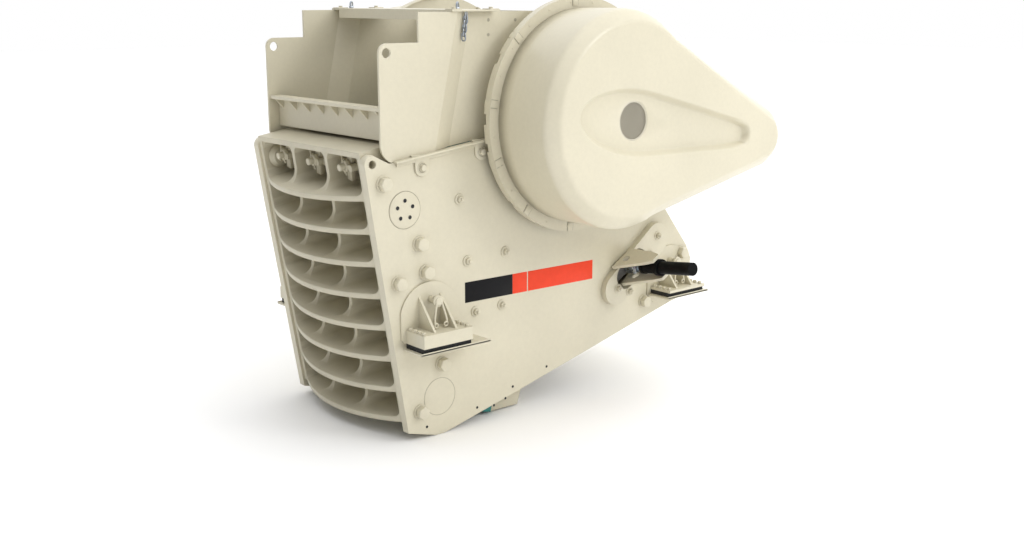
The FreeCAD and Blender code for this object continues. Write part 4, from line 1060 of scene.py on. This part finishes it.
def foot_fittings(name, end, tag, side):
    """Bolts along the block, the bent retaining strap on the stub pin and its rolled ends."""
    build = Build()
    low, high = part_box(f"foot_bracket_{end}_{tag}")
    centre = (low.x + high.x) / 2
    top = FOOT_TOPS[end]
    for back in FOOT_BOLT_ROWS:
        for k in range(4):
            y = side * (PLATE_FACE + FOOT_BOLT_IN + FOOT_BOLT_PITCH * k)
            hex_bolt(build, (centre + back, y, top - SEATED), UP, 0.0145, 0.016, turn=13 * k, washer=1.2)
    pin = Vector((centre + PIN_BACK, side * (PLATE_FACE + PIN_OUT), top + PIN_UP))
    build.turned(round_profile(0.040, 0.014, 0.004), facing(pin, outward(side)))
    build.turned(round_profile(0.028, 0.024, 0.004), facing(pin, outward(side)), 24)
    for lean in (-1, 1):
        path = [pin + Vector((x * lean, side * y, z)) for x, y, z in STRAP_PATH]
        build.swept(path, STRAP_RADIUS)
        curl = circle(path[-1] + Vector((-0.012 * lean, 0, -0.004)), CURL_CIRCLE, 20)
        build.swept(curl, CURL_RADIUS, sides=8, closed=True)
    build.done(name, [PAINT])


def base_lip(name, side):
    """The turned-up outer edge of the base plates."""
    build = Build()
    low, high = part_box("base_plates")
    reach = max(abs(low.y), abs(high.y))
    inner, outer = sorted((side * (reach - LIP_THICK), side * reach))
    for middle, front, rear in BASES:
        build.block((middle - front, inner, LIP_LOW), (middle + rear, outer, LIP_HIGH), round_by=0.002)
    build.done(name, [PAINT])


for side, tag in SIDES:
    for end in ("front", "rear"):
        foot_fittings(f"foot_fittings_{end}_{tag}", end, tag, side)
    base_lip(f"base_lip_{tag}", side)


# ---- adjusting cylinders

BRACKET_STUDS = ((0.988, 0.470), (0.566, 0.116), (0.905, 0.338), (0.690, 0.076))
BRACKET_FACE = PLATE_FACE + 0.050
BRACKET_STUD = ((0.036, 0.006, 0.002), (0.025, 0.024), (0.013, 0.042, 0.003))  # washer, nut and thread
# Profiles along the rod's line, measured from the plate's face.
ROD_SOCKET = ((0.0535, 0.040), (0.0535, 0.112), (0.046, 0.122), (0.036, 0.126), (0.036, 0.150), (0, 0.150))
GLAND_NUT = ((0.043, 0.178), (0.043, 0.206), (0.038, 0.212), (0, 0.212))
FORK_INNER, FORK_OUTER, FORK_HALF = 0.026, 0.054, 0.036


def bracket_bolts(name, side):
    """Nuts on the flange's ends and the clamp caps that hold the cylinder's collar between the arms."""
    build = Build()
    for x, z in BRACKET_STUDS:
        place = Vector((x, side * (BRACKET_FACE - SEATED), z))
        stud(build, place, outward(side), *BRACKET_STUD, turn=25, sides=(28, 18))
    build.done(name, [PAINT])


def rod_frame(side, tag):
    """The frame of a wedge rod's line where it crosses the plate's face: Z runs outward."""
    cylinder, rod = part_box(f"adjusting_cylinder_{tag}"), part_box(f"wedge_rod_{tag}")
    outer = (cylinder[0] + cylinder[1]) / 2
    inner = (rod[0] + rod[1]) / 2
    direction = (outer - inner).normalized()
    reach = (side * PLATE_FACE - inner.y) / direction.y
    return facing(inner + direction * reach, direction)


def cylinder_fork(name, side, tag):
    """The bare steel socket, fork, pin and gland nut between the wedge rod and the black cylinder."""
    build = Build()
    line = rod_frame(side, tag)
    build.turned(ROD_SOCKET, line, 40)
    for across in (-1, 1):
        low, high = sorted((across * FORK_INNER, across * FORK_OUTER))
        build.block((low, -FORK_HALF, 0.105), (high, FORK_HALF, 0.176), line, 0.006)
    build.block((-0.068, -0.014, 0.138), (0.068, 0.014, 0.166), line, 0.004)
    build.turned(GLAND_NUT, line, 6)
    build.done(name, [STEEL])


for side, tag in SIDES:
    bracket_bolts(f"bracket_bolts_{tag}", side)
    cylinder_fork(f"cylinder_fork_{tag}", side, tag)


# ---- drive motor

MOTOR_RADIUS, MOTOR_LONG = 0.235, 0.760
FIN_PITCH, FIN_HALF, FIN_HIGH, FIN_ROOT = 5, 0.0025, 0.014, 0.004
FIN_START, FIN_END = 0.070, 0.190  # the bare lengths at the shaft's end and at the cowl
BOX_ANGLE, FOOT_ANGLES = 20, (225, 315)  # degrees about the axis without fins
COWL_RINGS, COWL_SPOKES = 4, 8
COWL_FIRST, COWL_STEP = 0.055, 0.040
BOX_LOW, BOX_HIGH, BOX_LID = (-0.335, 0.260, -0.020), (-0.215, 0.460, 0.130), 0.004
GLAND = ((0.022, 0), (0.022, 0.012), (0.016, 0.014), (0.016, 0.034), (0.010, 0.038), (0, 0.038))
MOTOR_FOOT_BOLTS, MOTOR_FOOT_HIGH = (0.150, 0.540), 0.0895


def cooling_fins(build, axis, near, far):
    """Thin fins along the motor's body, with none where the terminal box and the feet are."""
    for degrees in range(0, 360, FIN_PITCH):
        beside_box = degrees < BOX_ANGLE or degrees > 360 - BOX_ANGLE
        if beside_box or FOOT_ANGLES[0] < degrees < FOOT_ANGLES[1]:
            continue
        low = (-FIN_HALF, near + FIN_START, MOTOR_RADIUS - FIN_ROOT)
        high = (FIN_HALF, far - FIN_END, MOTOR_RADIUS + FIN_HIGH)
        build.block(low, high, on_drum(axis, degrees), 0.001)


def cowl_grille(build, axis, far):
    """The rings and spokes of wire on the fan cowl."""
    rear = facing(axis + Vector((0, far - 0.0005, 0)), (0, -1, 0))
    for k in range(COWL_RINGS):
        radius = COWL_FIRST + COWL_STEP * k
        path = [rear @ Vector((radius * math.cos(t), radius * math.sin(t), 0.001)) for t in turns(48)]
        build.swept(path, 0.0032, sides=6, closed=True, index=1)
    for t in turns(COWL_SPOKES):
        ends = [rear @ Vector((r * math.cos(t), r * math.sin(t), 0.001)) for r in (0.030, 0.185)]
        build.swept(ends, 0.0028, sides=6, index=1)


def terminal_box(build, axis, near):
    """The box on the motor's side, its lid and its cable gland."""
    origin = Vector((axis.x, near, axis.z))
    low, high = origin + Vector(BOX_LOW), origin + Vector(BOX_HIGH)
    build.block(low, high, round_by=0.006)
    lid_low = low - Vector((0.006, BOX_LID, BOX_LID))
    build.block(lid_low, (low.x + 0.004, high.y + BOX_LID, high.z + BOX_LID), round_by=0.002)
    build.turned(GLAND, facing(low + Vector((0.050, 0.040, 0.002)), (0, 0, -1)), 24)


def motor_dress(name):
    """Cooling fins, end shield bolts, fan cowl, terminal box and hold-down bolts of the drive motor."""
    build = Build()
    low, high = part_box("motor")
    axis = Vector((high.x - MOTOR_RADIUS, 0, high.z - MOTOR_RADIUS))
    near, far = high.y - MOTOR_LONG, high.y
    cooling_fins(build, axis, near, far)
    cowl_grille(build, axis, far)
    for k in range(6):
        t = math.radians(60 * k + 30)
        place = axis + Vector((0.195 * math.cos(t), near, 0.195 * math.sin(t)))
        hex_bolt(build, place, (0, -1, 0), 0.013, 0.011, washer=1.2)
    terminal_box(build, axis, near)
    for x in (low.x + 0.035, high.x - 0.035):
        for back in MOTOR_FOOT_BOLTS:
            hex_bolt(build, (x, near + back, low.z + MOTOR_FOOT_HIGH), UP, 0.020, 0.018, turn=14, washer=1.3)
    build.done(name, [BLACK, COWL])


motor_dress("motor_dress")
